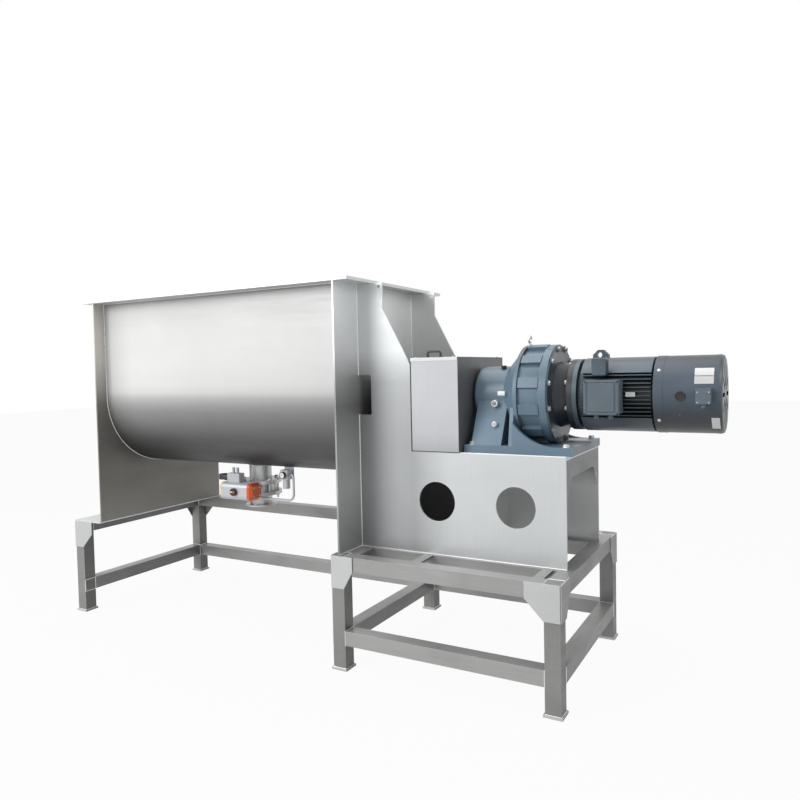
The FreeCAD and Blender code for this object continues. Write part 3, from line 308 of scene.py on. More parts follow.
steelTones = {
    "trough": (0.76, 0.76, 0.755), "plate": (0.70, 0.71, 0.71), "cheek": (0.66, 0.68, 0.69),
    # tailPlate and leg are painted shade: darker copies of the plate and tube steel.
    "tailPlate": (0.36, 0.345, 0.32), "tube": (0.42, 0.42, 0.415), "leg": (0.30, 0.30, 0.295),
    "gusset": (0.60, 0.61, 0.61),
    "bar": (0.60, 0.60, 0.59), "turned": (0.58, 0.58, 0.57), "guard": (0.56, 0.57, 0.59),
    "zinc": (0.72, 0.73, 0.75), "weld": (0.78, 0.78, 0.77), "rim": (0.74, 0.75, 0.75),
    # dullZinc is painted shade: a darker copy of the zinc.
    "bridge": (0.10, 0.10, 0.10), "dullZinc": (0.42, 0.43, 0.44), "label": (0.60, 0.61, 0.61),
    "anodised": (0.58, 0.60, 0.63),
}
# Painted shade and light: grey runs that darken or lighten a finish along one axis where light falls, as the painted
# reflection of a dark floor low on the trough, shade in the notch, the compartment, between the fins and under the
# motor and reducer.
paintedShadeAndLight = {     # an axis, then stops of (metres, factor)
    "trough": (2, ((1.02, 0.05), (1.12, 0.072), (1.22, 0.13), (1.32, 0.24), (1.40, 0.33), (1.45, 0.43),
                   (1.50, 0.59), (1.53, 0.75), (1.58, 0.83), (1.70, 0.84), (1.95, 0.78), (2.05, 0.68),
                   (2.14, 0.50))),
    "troughAlong": (0, ((-1.80, 0.88), (-1.55, 1.11), (-1.30, 1.08), (-0.90, 1.0), (0.16, 0.88))),
    "endStrip": (2, ((0.64, 0.42), (0.80, 0.55), (1.00, 0.70), (1.25, 0.52), (1.45, 0.34), (1.60, 0.62),
                     (1.75, 1.05), (2.00, 1.28), (2.14, 1.28))),
    "motorDown": (2, ((1.30, 0.50), (1.42, 0.62), (1.56, 1.0), (1.62, 0.95), (1.70, 0.62))),
    "finRows": (2, ((1.30, 1.0), (1.388, 1.0), (1.394, 0.42), (1.598, 0.42), (1.604, 1.0), (1.75, 1.0)),
                (0, 1.412, 1.404)),
    "cowlDown": (2, ((1.30, 0.14), (1.35, 0.22), (1.41, 0.55), (1.48, 1.15), (1.57, 1.20), (1.64, 0.80),
                     (1.69, 0.42))),
    "bellDown": (2, ((1.30, 0.75), (1.50, 0.70), (1.60, 0.35), (1.70, 0.25))),
    "barrelDown": (2, ((1.20, 0.95), (1.35, 1.05), (1.50, 1.05), (1.62, 0.85), (1.69, 0.42), (1.75, 0.40))),
    "ringDown": (2, ((1.22, 0.75), (1.35, 0.90), (1.50, 1.0), (1.62, 0.95), (1.77, 0.80))),
    "standInside": (2, ((0.64, 0.80), (0.75, 0.85), (0.95, 1.05), (1.03, 0.80), (1.09, 0.25), (1.18, 0.20),
                        (1.20, 1.0), (2.14, 1.0)), (1, 0.322, 0.328)),
    "tail": (2, ((0.64, 0.80), (0.90, 0.60), (1.30, 0.62), (1.45, 0.68), (1.58, 1.15), (1.75, 1.75), (2.14, 2.0))),
    "cheekAlong": (0, ((0.17, 0.46), (0.24, 0.54), (0.34, 0.62), (0.42, 0.66), (0.52, 0.62), (0.62, 0.80),
                       (0.74, 0.98), (1.37, 1.0)), (2, 1.58, 1.76)),
    "guardDown": (2, ((1.19, 0.72), (1.30, 0.90), (1.45, 0.92), (1.71, 0.82))),
}
grains = {"x": (0.02, 1.0, 1.0), "y": (1.0, 0.02, 1.0), "z": (1.0, 1.0, 0.02), "even": (1.0, 1.0, 1.0),
          "turned": (1.6, 0.05, 0.05)}
# In these finishes, side sets the painted shade on faces towards the motor end, and the named grey runs are painted
# shade and light.
finishes = {
    "trough": brushedSteel("trough sheet", "trough", "x", (0.40, 0.48), 0.03, 0.25,
                           ("trough", "troughAlong"), lineDepth=0.03, grainBump=0.01, lineScale=110.0),
    "neck": brushedSteel("outlet neck steel", "plate", "even", (0.30, 0.42), 0.05),
    "inner": brushedSteel("shaded bridge steel", "bridge", "z", (0.40, 0.52), 0.12),
    "plate": brushedSteel("plate steel", "plate", "z", (0.36, 0.48), 0.06),
    "endPlate": brushedSteel("drive end plate steel", "plate", "z", (0.36, 0.48), 0.08, paintedShades=("endStrip",)),
    "cheek": brushedSteel("cheek steel", "cheek", "z", (0.34, 0.46), 0.06, paintedShades=("cheekAlong",)),
    "apron": brushedSteel("apron steel", "cheek", "z", (0.36, 0.48), 0.08, side=0.28),
    "rearCheek": brushedSteel("rear cheek steel", "plate", "z", (0.36, 0.48), 0.06, paintedShades=("standInside",)),
    "rim": brushedSteel("rim steel", "rim", "x", (0.34, 0.46), 0.05),
    "tailPlate": brushedSteel("tail plate steel", "tailPlate", "z", (0.34, 0.46), 0.10, paintedShades=("tail",)),
    "tubeX": brushedSteel("tube steel along x", "tube", "x", (0.34, 0.48), 0.20, lineDepth=0.25, side=0.50),
    "tubeY": brushedSteel("tube steel along y", "tube", "y", (0.34, 0.48), 0.20, lineDepth=0.25, side=0.50),
    "tubeZ": brushedSteel("tube steel along z", "leg", "z", (0.34, 0.48), 0.20, lineDepth=0.25, side=0.50),
    "gusset": brushedSteel("gusset steel", "gusset", "even", (0.36, 0.48), 0.08, side=0.40),
    "bar": brushedSteel("ribbon steel", "bar", "even", (0.28, 0.42), 0.10, 0.7),
    "turned": brushedSteel("turned steel", "turned", "turned", (0.24, 0.36), 0.08, 0.7),
    "guard": brushedSteel("guard sheet", "guard", "z", (0.36, 0.46), 0.05, paintedShades=("guardDown",), side=0.30),
    "zinc": brushedSteel("zinc plate", "zinc", "even", (0.24, 0.36), 0.05, 0.6, edge=0.0005),
    # Painted shade: zinc darkened for the bolts on the shaded faces.
    "dullZinc": brushedSteel("weathered zinc", "dullZinc", "even", (0.30, 0.42), 0.10, 0.6,
                             edge=0.0005, side=0.35),
    "weld": brushedSteel("weld bead", "weld", "even", (0.26, 0.40), 0.10, 0.5, edge=0.0005),
    "label": brushedSteel("blank plate", "label", "x", (0.30, 0.42), 0.08, 0.6, edge=0.0005),
    "anodised": brushedSteel("anodised body", "anodised", "x", (0.34, 0.44), 0.05, 0.3),
    "iron": enamel("bearing iron", (0.05, 0.06, 0.08), (0.40, 0.55), 0.5, 0.10),
    "reducer": enamel("reducer enamel", (0.135, 0.212, 0.280), (0.30, 0.44), 0.30, 0.05,
                      paintedShades=("barrelDown",), side=0.60),
    "ring": enamel("ring enamel", (0.125, 0.198, 0.262), (0.30, 0.44), 0.30, 0.05, paintedShades=("ringDown",),
                   side=0.24),
    # Painted shade: the adapter's enamel is a near-black copy of the drive's blue.
    "adapter": enamel("adapter enamel", (0.014, 0.025, 0.037), (0.34, 0.46), 0.30, 0.01, paintedShades=("bellDown",)),
    "motor": enamel("motor enamel", (0.078, 0.118, 0.148), (0.32, 0.46), 0.20, 0.03,
                    paintedShades=("motorDown", "finRows"), side=0.35),
    "box": enamel("terminal box enamel", (0.105, 0.140, 0.170), (0.32, 0.46), 0.20, 0.05),
    "cowl": enamel("cowl enamel", (0.052, 0.074, 0.102), (0.32, 0.44), 0.10, 0.02, paintedShades=("cowlDown",),
                   side=0.40),
    # The pale first colour is a painted highlight on one cap; both caps are the orange of the second.
    "caps": twoToned("actuator cap enamel", 0, middleOf("actuator_body").x, (0.76, 0.62, 0.46),
                     (0.78, 0.115, 0.012)),
    "solenoid": twoToned("solenoid body", 0, low["solenoid_valve"].x + 0.078, (0.020, 0.020, 0.022),
                         (0.55, 0.57, 0.60)),
    "black": moulded("black plastic", (0.014, 0.014, 0.015)),
    "paleDial": moulded("pale dial", (0.78, 0.78, 0.76), 0.40),
    "lens": clearLens("sight glass"),
}
looks = {
    "trough": ["trough_shell"],
    "neck": ["outlet_neck"],
    "inner": ["drive_bearing_bridge", "drive_seal_housing"],
    "endPlate": ["drive_end_plate"],
    "rim": ["top_rim", "tail_deck_plate"],
    "cheek": ["front_cheek"],
    "apron": ["drive_end_apron"],
    "rearCheek": ["rear_cheek"],
    "plate": ["drive_top_plate", "compartment_partition", "tail_bearing_bracket"],
    "tailPlate": ["tail_end_plate"],
    "tubeX": ["top_side_beams", "lower_side_rails", "drive_stand_rails"],
    "tubeY": ["top_cross_beams", "lower_cross_rails", "tie_bars"],
    "tubeZ": ["leg_front_tail", "leg_rear_tail", "leg_front_middle", "leg_rear_middle", "leg_front_drive",
              "leg_rear_drive"],
    "gusset": ["corner_gussets", "foot_plates"],
    "guard": ["shaft_guard"],
    "bar": ["outer_ribbons", "inner_ribbons", "ribbon_arms", "valve_body", "outlet_spout", "valve_disc"],
    "turned": ["main_shaft", "tail_seal_housing", "shaft_coupling_half",
               "reducer_coupling_half", "reducer_output_shaft", "motor_shaft"],
    "iron": ["tail_bearing", "drive_bearing"],
    "reducer": ["reducer_housing"],
    "ring": ["ring_housing"],
    "adapter": ["motor_adapter"],
    "motor": ["motor_body"],
    "box": ["terminal_box", "fan_terminal_box"],
    "cowl": ["fan_cowl"],
    "zinc": ["ring_bolts", "reducer_eyebolt", "reducer_fittings"],
    "anodised": ["actuator_body", "air_service_units"],
    "solenoid": ["solenoid_valve"],
    "caps": ["actuator_caps"],
    "black": ["guard_handle", "position_indicator", "cooling_fan"],
}
for look, names in looks.items():
    for name in names:
        nodes[name].data.materials.clear()
        nodes[name].data.materials.append(finishes[look])
print("materials ready:", len(finishes))


# Shapes for the added pieces: turned work, swept rods, blank plates, bolts and weld beads.

def closeRing(bm, first, second):
    for i in range(max(len(first), len(second))):
        j = (i + 1) % max(len(first), len(second))
        if len(first) == 1:
            bm.faces.new((first[0], second[j], second[i]))
        elif len(second) == 1:
            bm.faces.new((first[i], first[j], second[0]))
        else:
            bm.faces.new((first[i], first[j], second[j], second[i]))


def spun(bm, profile, place, axis, steps=28):
    # Turned work: profile is (radius, distance along the axis), from one end to the other.
    along = Vector(axis).normalized()
    across = along.orthogonal().normalized()
    third = along.cross(across)
    rings = []
    for radius, distance in profile:
        centre = Vector(place) + along * distance
        if radius < 1e-6:
            rings.append([bm.verts.new(centre)])
            continue
        angles = [2 * math.pi * i / steps for i in range(steps)]
        rings.append([bm.verts.new(centre + radius * (math.cos(a) * across + math.sin(a) * third)) for a in angles])
    for first, second in zip(rings, rings[1:]):
        closeRing(bm, first, second)


def swept(bm, points, radius, sides=8, closed=False, ripple=0.0):
    # A rod along a list of points, with the section carried along so that it doesn't twist.
    points = [Vector(p) for p in points]
    count = len(points)
    side = None
    rings = []
    for i, point in enumerate(points):
        before = points[i - 1] if i or closed else point
        after = points[(i + 1) % count] if i < count - 1 or closed else point
        along = (after - before).normalized()
        side = along.orthogonal() if side is None else side - along * side.dot(along)
        side.normalize()
        other = along.cross(side)
        size = radius * (1 + ripple * math.sin(i * 2.1) + ripple * random.uniform(-0.5, 0.5))
        angles = [2 * math.pi * k / sides for k in range(sides)]
        rings.append([bm.verts.new(point + size * (math.cos(a) * side + math.sin(a) * other)) for a in angles])
    for first, second in zip(rings, rings[1:]):
        closeRing(bm, first, second)
    if closed:
        closeRing(bm, rings[-1], rings[0])
    else:
        bm.faces.new(rings[0])
        bm.faces.new(rings[-1])


def rounded(corners, bend, steps=6):
    # A path of straight runs whose corners are arcs.
    corners = [Vector(c) for c in corners]
    path = [corners[0]]
    for before, corner, after in zip(corners, corners[1:], corners[2:]):
        inward, outward = (before - corner).normalized(), (after - corner).normalized()
        start, end = corner + inward * bend, corner + outward * bend
        for k in range(steps + 1):
            t = k / steps
            path.append(start * (1 - t) ** 2 + corner * (2 * t * (1 - t)) + end * t ** 2)
    return path + [corners[-1]]


def finishPiece(name, bm, look, body="base"):
    bmesh.ops.remove_doubles(bm, verts=bm.verts, dist=1e-6)
    bmesh.ops.recalc_face_normals(bm, faces=bm.faces)
    mesh = bpy.data.meshes.new(name)
    bm.to_mesh(mesh)
    bm.free()
    mesh.materials.append(finishes[look])
    mesh.polygons.foreach_set("use_smooth", [True] * len(mesh.polygons))
    mesh.set_sharp_from_angle(angle=math.radians(35))
    piece = bpy.data.objects.new(name, mesh)
    scene.collection.objects.link(piece)
    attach(piece, body)
    return piece


def hexBolt(bm, place, axis, size, washer=1.0):
    # A washer and a chamfered hexagon head; size is the head's radius across its corners.
    ease, thick = size * 0.08, size * 0.22
    disc = size * 1.22 * washer
    spun(bm, ((0, 0), (disc, 0), (disc, thick - ease), (disc - ease, thick), (0, thick)), place, axis, 20)
    top = thick + size * 0.72
    spun(bm, ((0, thick), (size, thick), (size, top - ease * 1.4), (size * 0.86, top), (0, top)), place, axis, 6)
    spun(bm, ((0, top), (size * 0.80, top), (size * 0.74, top + ease * 0.6), (0, top + ease * 0.6)), place, axis, 18)


def capScrew(bm, place, axis, size):
    # A socket screw: a domed cap with a hexagon hole.
    tall, hole = size * 0.9, size * 0.52
    spun(bm, ((0, 0), (size, 0), (size, tall * 0.8), (size * 0.86, tall), (hole, tall)), place, axis, 18)
    spun(bm, ((hole, tall), (hole, tall * 0.35), (0, tall * 0.35)), place, axis, 6)


def roundedCorners(width, height, corner, steps=5):
    outline = []
    for k, (sx, sy) in enumerate(((1, 1), (-1, 1), (-1, -1), (1, -1))):
        for i in range(steps + 1):
            a = math.pi / 2 * (k + i / steps)
            outline.append((sx * (width / 2 - corner) + corner * math.cos(a),
                            sy * (height / 2 - corner) + corner * math.sin(a)))
    return outline


def blankPlate(bm, place, width, height, thick, corner, ease=0.0006, side=1):
    # An upright plate with rounded corners and eased edges; side is 1 to face the front, -1 the back.
    along, up, out = Vector((side, 0, 0)), Vector((0, 0, 1)), Vector((0, -side, 0))
    rings = []
    for inset, rise in ((0, 0), (0, thick - ease), (ease, thick)):
        shape = roundedCorners(width - 2 * inset, height - 2 * inset, max(corner - inset, 0.0003))
        rings.append([bm.verts.new(Vector(place) + along * a + up * b + out * rise) for a, b in shape])
    for first, second in zip(rings, rings[1:]):
        closeRing(bm, first, second)
    bm.faces.new(rings[0])
    bm.faces.new(rings[-1])


def curvedPlate(bm, x0, x1, z0, z1, radius, thick, steps=10):
    # A plate bent round a drum about the shaft, on the front side.
    angles = [math.asin((z - shaftZ) / radius) for z in (z0, z1)]
    rows = []
    for i in range(steps + 1):
        a = angles[0] + (angles[1] - angles[0]) * i / steps
        row = []
        for x, lift in ((x0, 0.0), (x0, thick), (x1, thick), (x1, 0.0)):
            r = radius + lift
            row.append(bm.verts.new((x, -r * math.cos(a), shaftZ + r * math.sin(a))))
        rows.append(row)
    for first, second in zip(rows, rows[1:]):
        closeRing(bm, first, second)
    bm.faces.new(rows[0])
    bm.faces.new(rows[-1])


def runOf(points, step):
    # Points about one step apart along straight runs.
    points = [Vector(p) for p in points]
    path = []
    for first, second in zip(points, points[1:]):
        count = max(1, round((second - first).length / step))
        path += [first.lerp(second, i / count) for i in range(count)]
    return path + [points[-1]]


weldLook = {"radius": 0.0038, "thin": 0.003, "step": 0.009, "sides": 6, "ripple": 0.10}


def weld(bm, points, closed=False, radius=weldLook["radius"]):
    path = runOf(points, weldLook["step"])
    if closed:
        path = path[:-1]
    swept(bm, path, radius, weldLook["sides"], closed, weldLook["ripple"])


troughSeams = {"proud": 0.001, "below": 0.002, "neck": 0.0765}


def troughWelds(values):
    bm = bmesh.new()
    x0, x1 = low["trough_shell"].x, high["trough_shell"].x
    radius = high["trough_shell"].y + values["proud"]
    top = high["trough_shell"].z - values["below"]
    for x in (x0 + values["proud"], x1 - values["proud"]):
        curve = [(x, -radius * math.cos(a), shaftZ - radius * math.sin(a))
                 for a in (math.pi * i / 90 for i in range(91))]
        weld(bm, [(x, -radius, top)] + curve + [(x, radius, top)])
    for y in (-radius, radius):
        weld(bm, [(x0, y, top), (x1, y, top)])
    saddle = [(middleOf("outlet_neck").x + x, y, shaftZ - math.sqrt(radius ** 2 - y ** 2))
              for x, y in circleOf(60, values["neck"])]
    weld(bm, saddle + saddle[:1], True)
    finishPiece("trough_welds", bm, "weld")


standSeams = {"lift": 0.0005, "inset": 0.002, "notchBelow": 0.101, "notchAbove": 0.123, "brow": 0.01}


def standWelds(values):
    bm = bmesh.new()
    lift, inset = values["lift"], values["inset"]
    cheek, bottom, top = high["rear_cheek"].y + lift, low["front_cheek"].z + 0.001, high["front_cheek"].z - inset
    notch = (shaftZ - values["notchBelow"], shaftZ + values["notchAbove"])
    x = endFace + lift
    weld(bm, [(x, -cheek, bottom), (x, -cheek, notch[0])])
    weld(bm, [(x, -cheek, notch[1]), (x, -cheek, top)])
    weld(bm, [(x, cheek, bottom), (x, cheek, top)])
    inner = low["rear_cheek"].y - lift
    deck = high["drive_top_plate"].z + lift
    for side in (-1, 1):
        weld(bm, [(x, side * inner, deck), (x, side * inner, notch[0] if side < 0 else top)])
        weld(bm, [(x, side * inner, deck), (high["front_cheek"].x - inset, side * inner, deck)])
        weld(bm, [(x, side * cheek, bottom), (high["front_cheek"].x, side * cheek, bottom)])
    bridge, brow = low["drive_bearing_bridge"].x - lift, high["drive_bearing_bridge"].z - values["brow"]
    weld(bm, [(bridge, -inner, brow), (bridge, -inner, deck), (bridge, inner, deck), (bridge, inner, brow)])
    half = high["drive_end_plate"].y - inset
    weld(bm, [(x, -half, bottom), (x, half, bottom)])
    x, foot = low["tail_end_plate"].x - lift, low["tail_end_plate"].z + 0.001
    weld(bm, [(x, -half, foot), (x, half, foot)])
    finishPiece("stand_welds", bm, "weld")


def squareLoop(bm, centre, half, axis):
    # A bead round a square tube where its end meets a leg; axis is the tube's own.
    first, second = (half * Vector([k == way for k in range(3)]) for way in range(3) if way != axis)
    centre = Vector(centre)
    corners = [centre + first + second, centre - first + second, centre - first - second, centre + first - second]
    weld(bm, corners + corners[:1], True, weldLook["thin"])


def frameWelds():
    bm = bmesh.new()
    half = (high["leg_front_tail"].x - low["leg_front_tail"].x) / 2
    levels = [high["top_side_beams"].z - half, high["lower_side_rails"].z - half]
    legs = [(low[name].x + half, low[name].y + half) for name in nodes if name.startswith("leg_")]
    firstX, lastX = min(x for x, y in legs), max(x for x, y in legs)
    for x, y in legs:
        inner = y - math.copysign(half, y)
        for z in levels:
            squareLoop(bm, (x, inner, z), half, 1)
            for side in (-1, 1):
                if (side < 0 and x > firstX) or (side > 0 and x < lastX):
                    squareLoop(bm, (x + side * half, y, z), half, 0)
        squareLoop(bm, (x, y, high["foot_plates"].z), half, 2)
    finishPiece("frame_welds", bm, "weld")


troughWelds(troughSeams)
standWelds(standSeams)
frameWelds()
print("weld beads ready")


shaftEndBolts = {"seal": 0.0075, "sealCount": 6, "sealCircle": 0.0925, "sealThick": 0.014,
                 "bearing": 0.012, "bearingHalf": 0.074, "bearingThick": 0.020}


def sealAndBearingBolts(values):
    bm = bmesh.new()
    thick, half = values["sealThick"], values["bearingHalf"]
    for x, toward in ((low["tail_end_plate"].x - thick, -1), (endFace + thick, 1)):
        for y, z in circleOf(values["sealCount"], values["sealCircle"], 15):
            hexBolt(bm, (x, y, shaftZ + z), (toward, 0, 0), values["seal"])
    thick = values["bearingThick"]
    for x, toward in ((high["tail_bearing"].x - thick, -1), (low["drive_bearing"].x + thick, 1)):
        for sy, sz in signs:
            hexBolt(bm, (x, sy * half, shaftZ + sz * half), (toward, 0, 0), values["bearing"])
    finishPiece("seal_and_bearing_bolts", bm, "zinc")


footBolt = {"size": 0.017, "base": 0.042, "fromEnd": 0.040, "fromSide": 0.030, "middleShift": 0.02}


def footBolts(values):
    bm = bmesh.new()
    box0, box1 = low["reducer_housing"], high["reducer_housing"]
    end = values["fromEnd"]
    for x in (box0.x + end, (box0.x + box1.x) / 2 + values["middleShift"], box1.x - end):
        for side in (-1, 1):
            place = (x, side * (box1.y - values["fromSide"]), box0.z + values["base"])
            hexBolt(bm, place, (0, 0, 1), values["size"])
    finishPiece("reducer_foot_bolts", bm, "zinc")


ringBolt = {"count": 12, "circle": 0.250, "boss": 0.0205, "bossHigh": 0.0030, "size": 0.0125, "washer": 0.92}


def ringBosses(values):
    bm = bmesh.new()
    wide, tall = values["boss"], values["bossHigh"]
    for y, z in circleOf(values["count"], values["circle"], 15):
        spun(bm, ((wide, -0.001), (wide - 0.0015, tall * 0.8), (wide - 0.003, tall), (0, tall)),
             (high["ring_housing"].x, y, shaftZ + z), (1, 0, 0))
    finishPiece("ring_bosses", bm, "ring")


def ringBolts(values):
    bm = bmesh.new()
    x = high["ring_housing"].x + values["bossHigh"]
    for y, z in circleOf(values["count"], values["circle"], 15):
        hexBolt(bm, (x, y, shaftZ + z), (1, 0, 0), values["size"], values["washer"])
    piece = finishPiece("ring_bolts_with_washers", bm, "dullZinc")
    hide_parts("ring_bolts")


flangeBolt = {"count": 8, "circle": 0.1715, "flange": 0.030, "size": 0.0125}


def motorFlangeBolts(values):
    bm = bmesh.new()
    for y, z in circleOf(values["count"], values["circle"], 22.5):
        hexBolt(bm, (high["motor_adapter"].x - values["flange"], y, shaftZ + z), (-1, 0, 0), values["size"])
    finishPiece("motor_flange_bolts", bm, "dullZinc")


valveStud = {"count": 8, "circle": 0.120, "flange": 0.022, "rod": 0.0078, "nut": 0.0135, "past": 0.012}


def valveStuds(values):
    bm = bmesh.new()
    centreX = middleOf("outlet_neck").x
    top, bottom = low["outlet_neck"].z + values["flange"], high["outlet_spout"].z - values["flange"]
    rod, past, tip = values["rod"], values["past"], values["past"] + 0.004
    for x, y in circleOf(values["count"], values["circle"], 22.5):
        x += centreX
        hexBolt(bm, (x, y, top), (0, 0, 1), values["nut"])
        hexBolt(bm, (x, y, bottom), (0, 0, -1), values["nut"])
        spun(bm, ((0, 0), (rod, 0), (rod, top - bottom), (0, top - bottom)), (x, y, bottom), (0, 0, 1), 12)
        spun(bm, ((rod, 0), (rod, tip - 0.002), (rod - 0.0012, tip), (0, tip)), (x, y, bottom - past), (0, 0, -1), 12)
    finishPiece("valve_studs", bm, "zinc")


sealAndBearingBolts(shaftEndBolts)
footBolts(footBolt)
ringBosses(ringBolt)
ringBolts(ringBolt)
motorFlangeBolts(flangeBolt)
valveStuds(valveStud)
print("bolts ready")


eyebolt = {"rod": 0.0060, "ring": 0.0190, "collar": 0.0145, "collarHigh": 0.006}


def liftingEye(values):
    bm = bmesh.new()
    x = middleOf("reducer_eyebolt").x
    seat, top = low["reducer_eyebolt"].z, high["reducer_eyebolt"].z
    flare, tall, rod, ring = values["collar"], values["collarHigh"], values["rod"], values["ring"]
    neck = top - 2 * (ring + rod) + rod - seat
    spun(bm, ((0, 0), (flare, 0), (flare, tall), (flare * 0.8, tall + 0.002), (flare * 0.5, neck * 0.75),
              (flare * 0.45, neck + 0.004), (0, neck + 0.004)), (x, 0, seat), (0, 0, 1))
    loop = [(x, y, top - ring - rod + z) for y, z in circleOf(40, ring)]
    swept(bm, loop, rod, 12, True)
    piece = finishPiece("lifting_eyebolt", bm, "zinc")
    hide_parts("reducer_eyebolt")


guardGrip = {"rod": 0.0062, "bend": 0.014, "collar": 0.0105}


def guardHandle(values):
    bm = bmesh.new()
    x0, x1 = low["guard_handle"].x + values["rod"], high["guard_handle"].x - values["rod"]
    y, wide = middleOf("guard_handle").y, values["collar"]
    z0, z1 = low["guard_handle"].z, high["guard_handle"].z - values["rod"]
    path = rounded(((x0, y, z0), (x0, y, z1), (x1, y, z1), (x1, y, z0)), values["bend"], 8)
    swept(bm, path, values["rod"], 14)
    for x in (x0, x1):
        spun(bm, ((0, 0), (wide, 0), (wide, 0.004), (wide - 0.002, 0.006), (0, 0.006)), (x, y, z0), (0, 0, 1), 20)
    piece = finishPiece("guard_bow_handle", bm, "black", "guard")
    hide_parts("guard_handle")


guardTrim = {"high": 0.020, "thick": 0.0016, "screw": 0.0055, "screwEnd": 0.03, "screwSide": 0.012}


def guardLip(values):
    bm = bmesh.new()
    x0, x1 = low["shaft_guard"].x, high["shaft_guard"].x
    y, z = low["shaft_guard"].y, high["shaft_guard"].z
    for side in (1, -1):
        blankPlate(bm, ((x0 + x1) / 2, side * y, z - values["high"] / 2), x1 - x0 - 0.002, values["high"],
                   values["thick"], 0.0008, side=side)
    for side in (1, -1):
        for x in (x0 + values["screwEnd"], x1 - values["screwEnd"]):
            capScrew(bm, (x, side * (y + values["screwSide"]), z), (0, 0, 1), values["screw"])
    finishPiece("guard_lid_lip", bm, "gusset", "guard")


guardGapStrip = {"wide": 0.0045, "proud": 0.0012}


def guardGapShadeStrip(values):
    # A black strip for the painted shadow in the gap between the guard and the cheeks, down one side and along the
    # bottom, front and back.
    bm = bmesh.new()
    x0, x1 = low["shaft_guard"].x, high["shaft_guard"].x
    z0, z1 = low["shaft_guard"].z, high["shaft_guard"].z - guardTrim["high"]
    wide, proud = values["wide"], values["proud"]
    for side in (-1, 1):
        y = side * high["shaft_guard"].y
        blankPlate(bm, (x0 + wide / 2, y, (z0 + z1) / 2), wide, z1 - z0, proud, 0.001, 0.0004, -side)
        blankPlate(bm, ((x0 + x1) / 2, y, z0 + wide / 2), x1 - x0, wide, proud, 0.001, 0.0004, -side)
    finishPiece("guard_edge_seal", bm, "black", "guard")


liftingEye(eyebolt)
guardHandle(guardGrip)
guardLip(guardTrim)
guardGapShadeStrip(guardGapStrip)
print("lifting eye and guard trim ready")


def fittingFace(values):
    # The middle of a round fitting's foremost face; along is from the end face, rise from the shaft.
    z = shaftZ + values["rise"]
    front = min(v.co.y for v in nodes["reducer_fittings"].data.vertices if abs(v.co.z - z) < 0.04)
    return endFace + values["along"], front, z


sightGlass = {"along": 0.775, "rise": -0.042, "glass": 0.0120, "rim": 0.0190}
drainPlug = {"along": 0.789, "rise": -0.150, "neck": 0.0105, "rim": 0.0150, "key": 0.0058}


def glassAndPlug(glass, plug):
    bm = bmesh.new()
    inner, rim = glass["glass"], glass["rim"]
    spun(bm, ((inner, -0.001), (inner, 0.0045), (rim - 0.0025, 0.0045), (rim - 0.0005, 0.003), (rim, -0.001)),
         fittingFace(glass), (0, -1, 0), 32)
    neck, rim = plug["neck"], plug["rim"]
    spun(bm, ((neck, -0.012), (rim, -0.012), (rim, -0.008), (neck, -0.008)), fittingFace(plug), (0, -1, 0))
    finishPiece("sight_glass_bezel", bm, "zinc")
    bm = bmesh.new()
    spun(bm, ((inner - 0.0002, -0.004), (inner - 0.0002, 0.0008), (0.008, 0.0018), (0, 0.0022)), fittingFace(glass),
         (0, -1, 0), 32)
    finishPiece("sight_glass_lens", bm, "lens")


breather = {"along": 0.783, "side": -0.060, "hex": 0.0150, "neck": 0.0110, "cap": 0.0155, "seated": 0.004}


def breatherCap(values, plug):
    bm = bmesh.new()
    key = plug["key"]
    spun(bm, ((key, 0.0004), (0.0040, 0.0004), (0.0034, -0.0002), (0, -0.0002)), fittingFace(plug), (0, -1, 0), 6)
    x, y = endFace + values["along"], values["side"]
    barrel = max(v.co.z for v in nodes["reducer_housing"].data.vertices if x - 0.16 < v.co.x < x)
    place = (x, y, shaftZ + math.sqrt((barrel - shaftZ) ** 2 - y ** 2) - values["seated"])
    wide, neck, cap = values["hex"], values["neck"], values["cap"]
    spun(bm, ((0, 0), (wide, 0), (wide, 0.007), (wide - 0.0018, 0.008), (0, 0.008)), place, (0, 0, 1), 6)
    spun(bm, ((0, 0.008), (neck, 0.008), (neck, 0.010), (cap, 0.011), (cap, 0.017), (cap - 0.0025, 0.020),
              (0, 0.021)), place, (0, 0, 1))
    finishPiece("reducer_breather", bm, "black")


reducerPlate = {"from": 0.802, "to": 0.842, "low": 0.002, "high": 0.024, "drum": 0.2102, "thick": 0.0012}


def reducerBlankPlate(values):
    bm = bmesh.new()
    curvedPlate(bm, endFace + values["from"], endFace + values["to"], shaftZ + values["low"],
                shaftZ + values["high"], values["drum"], values["thick"])
    finishPiece("reducer_blank_plate", bm, "label")


glassAndPlug(sightGlass, drainPlug)
breatherCap(breather, drainPlug)
reducerBlankPlate(reducerPlate)
print("reducer details ready")


def onDrum(x, radius, z):
    # A point on the front of a drum about the shaft, and the way it faces.
    a = math.asin((z - shaftZ) / radius)
    out = Vector((0, -math.cos(a), math.sin(a)))
    return Vector((x, 0, shaftZ)) + radius * out, out


def drumBand(bm, x0, wide, radius, proud):
    ease, outer = proud * 0.5, radius + proud
    spun(bm, ((radius - 0.001, 0), (outer - ease, 0), (outer, ease), (outer, wide - ease), (outer - ease, wide),
              (radius - 0.001, wide)), (x0, 0, shaftZ), (1, 0, 0), 96)


cowl = {"band": 0.045, "proud": 0.0016, "backBand": 0.016, "backPlace": 0.032, "screw": 0.0068,
        "screwAlong": 0.024, "screwRise": 0.120}
grommet = {"along": 1.713, "rise": -0.002, "hole": 0.021}
cowlPlates = {"along": (1.774, 1.858), "rows": ((1.590, 1.625), (1.552, 1.587)), "thick": 0.0010,
              "tagAlong": (1.846, 1.882), "tagRow": (1.338, 1.392), "tagThick": 0.0008}


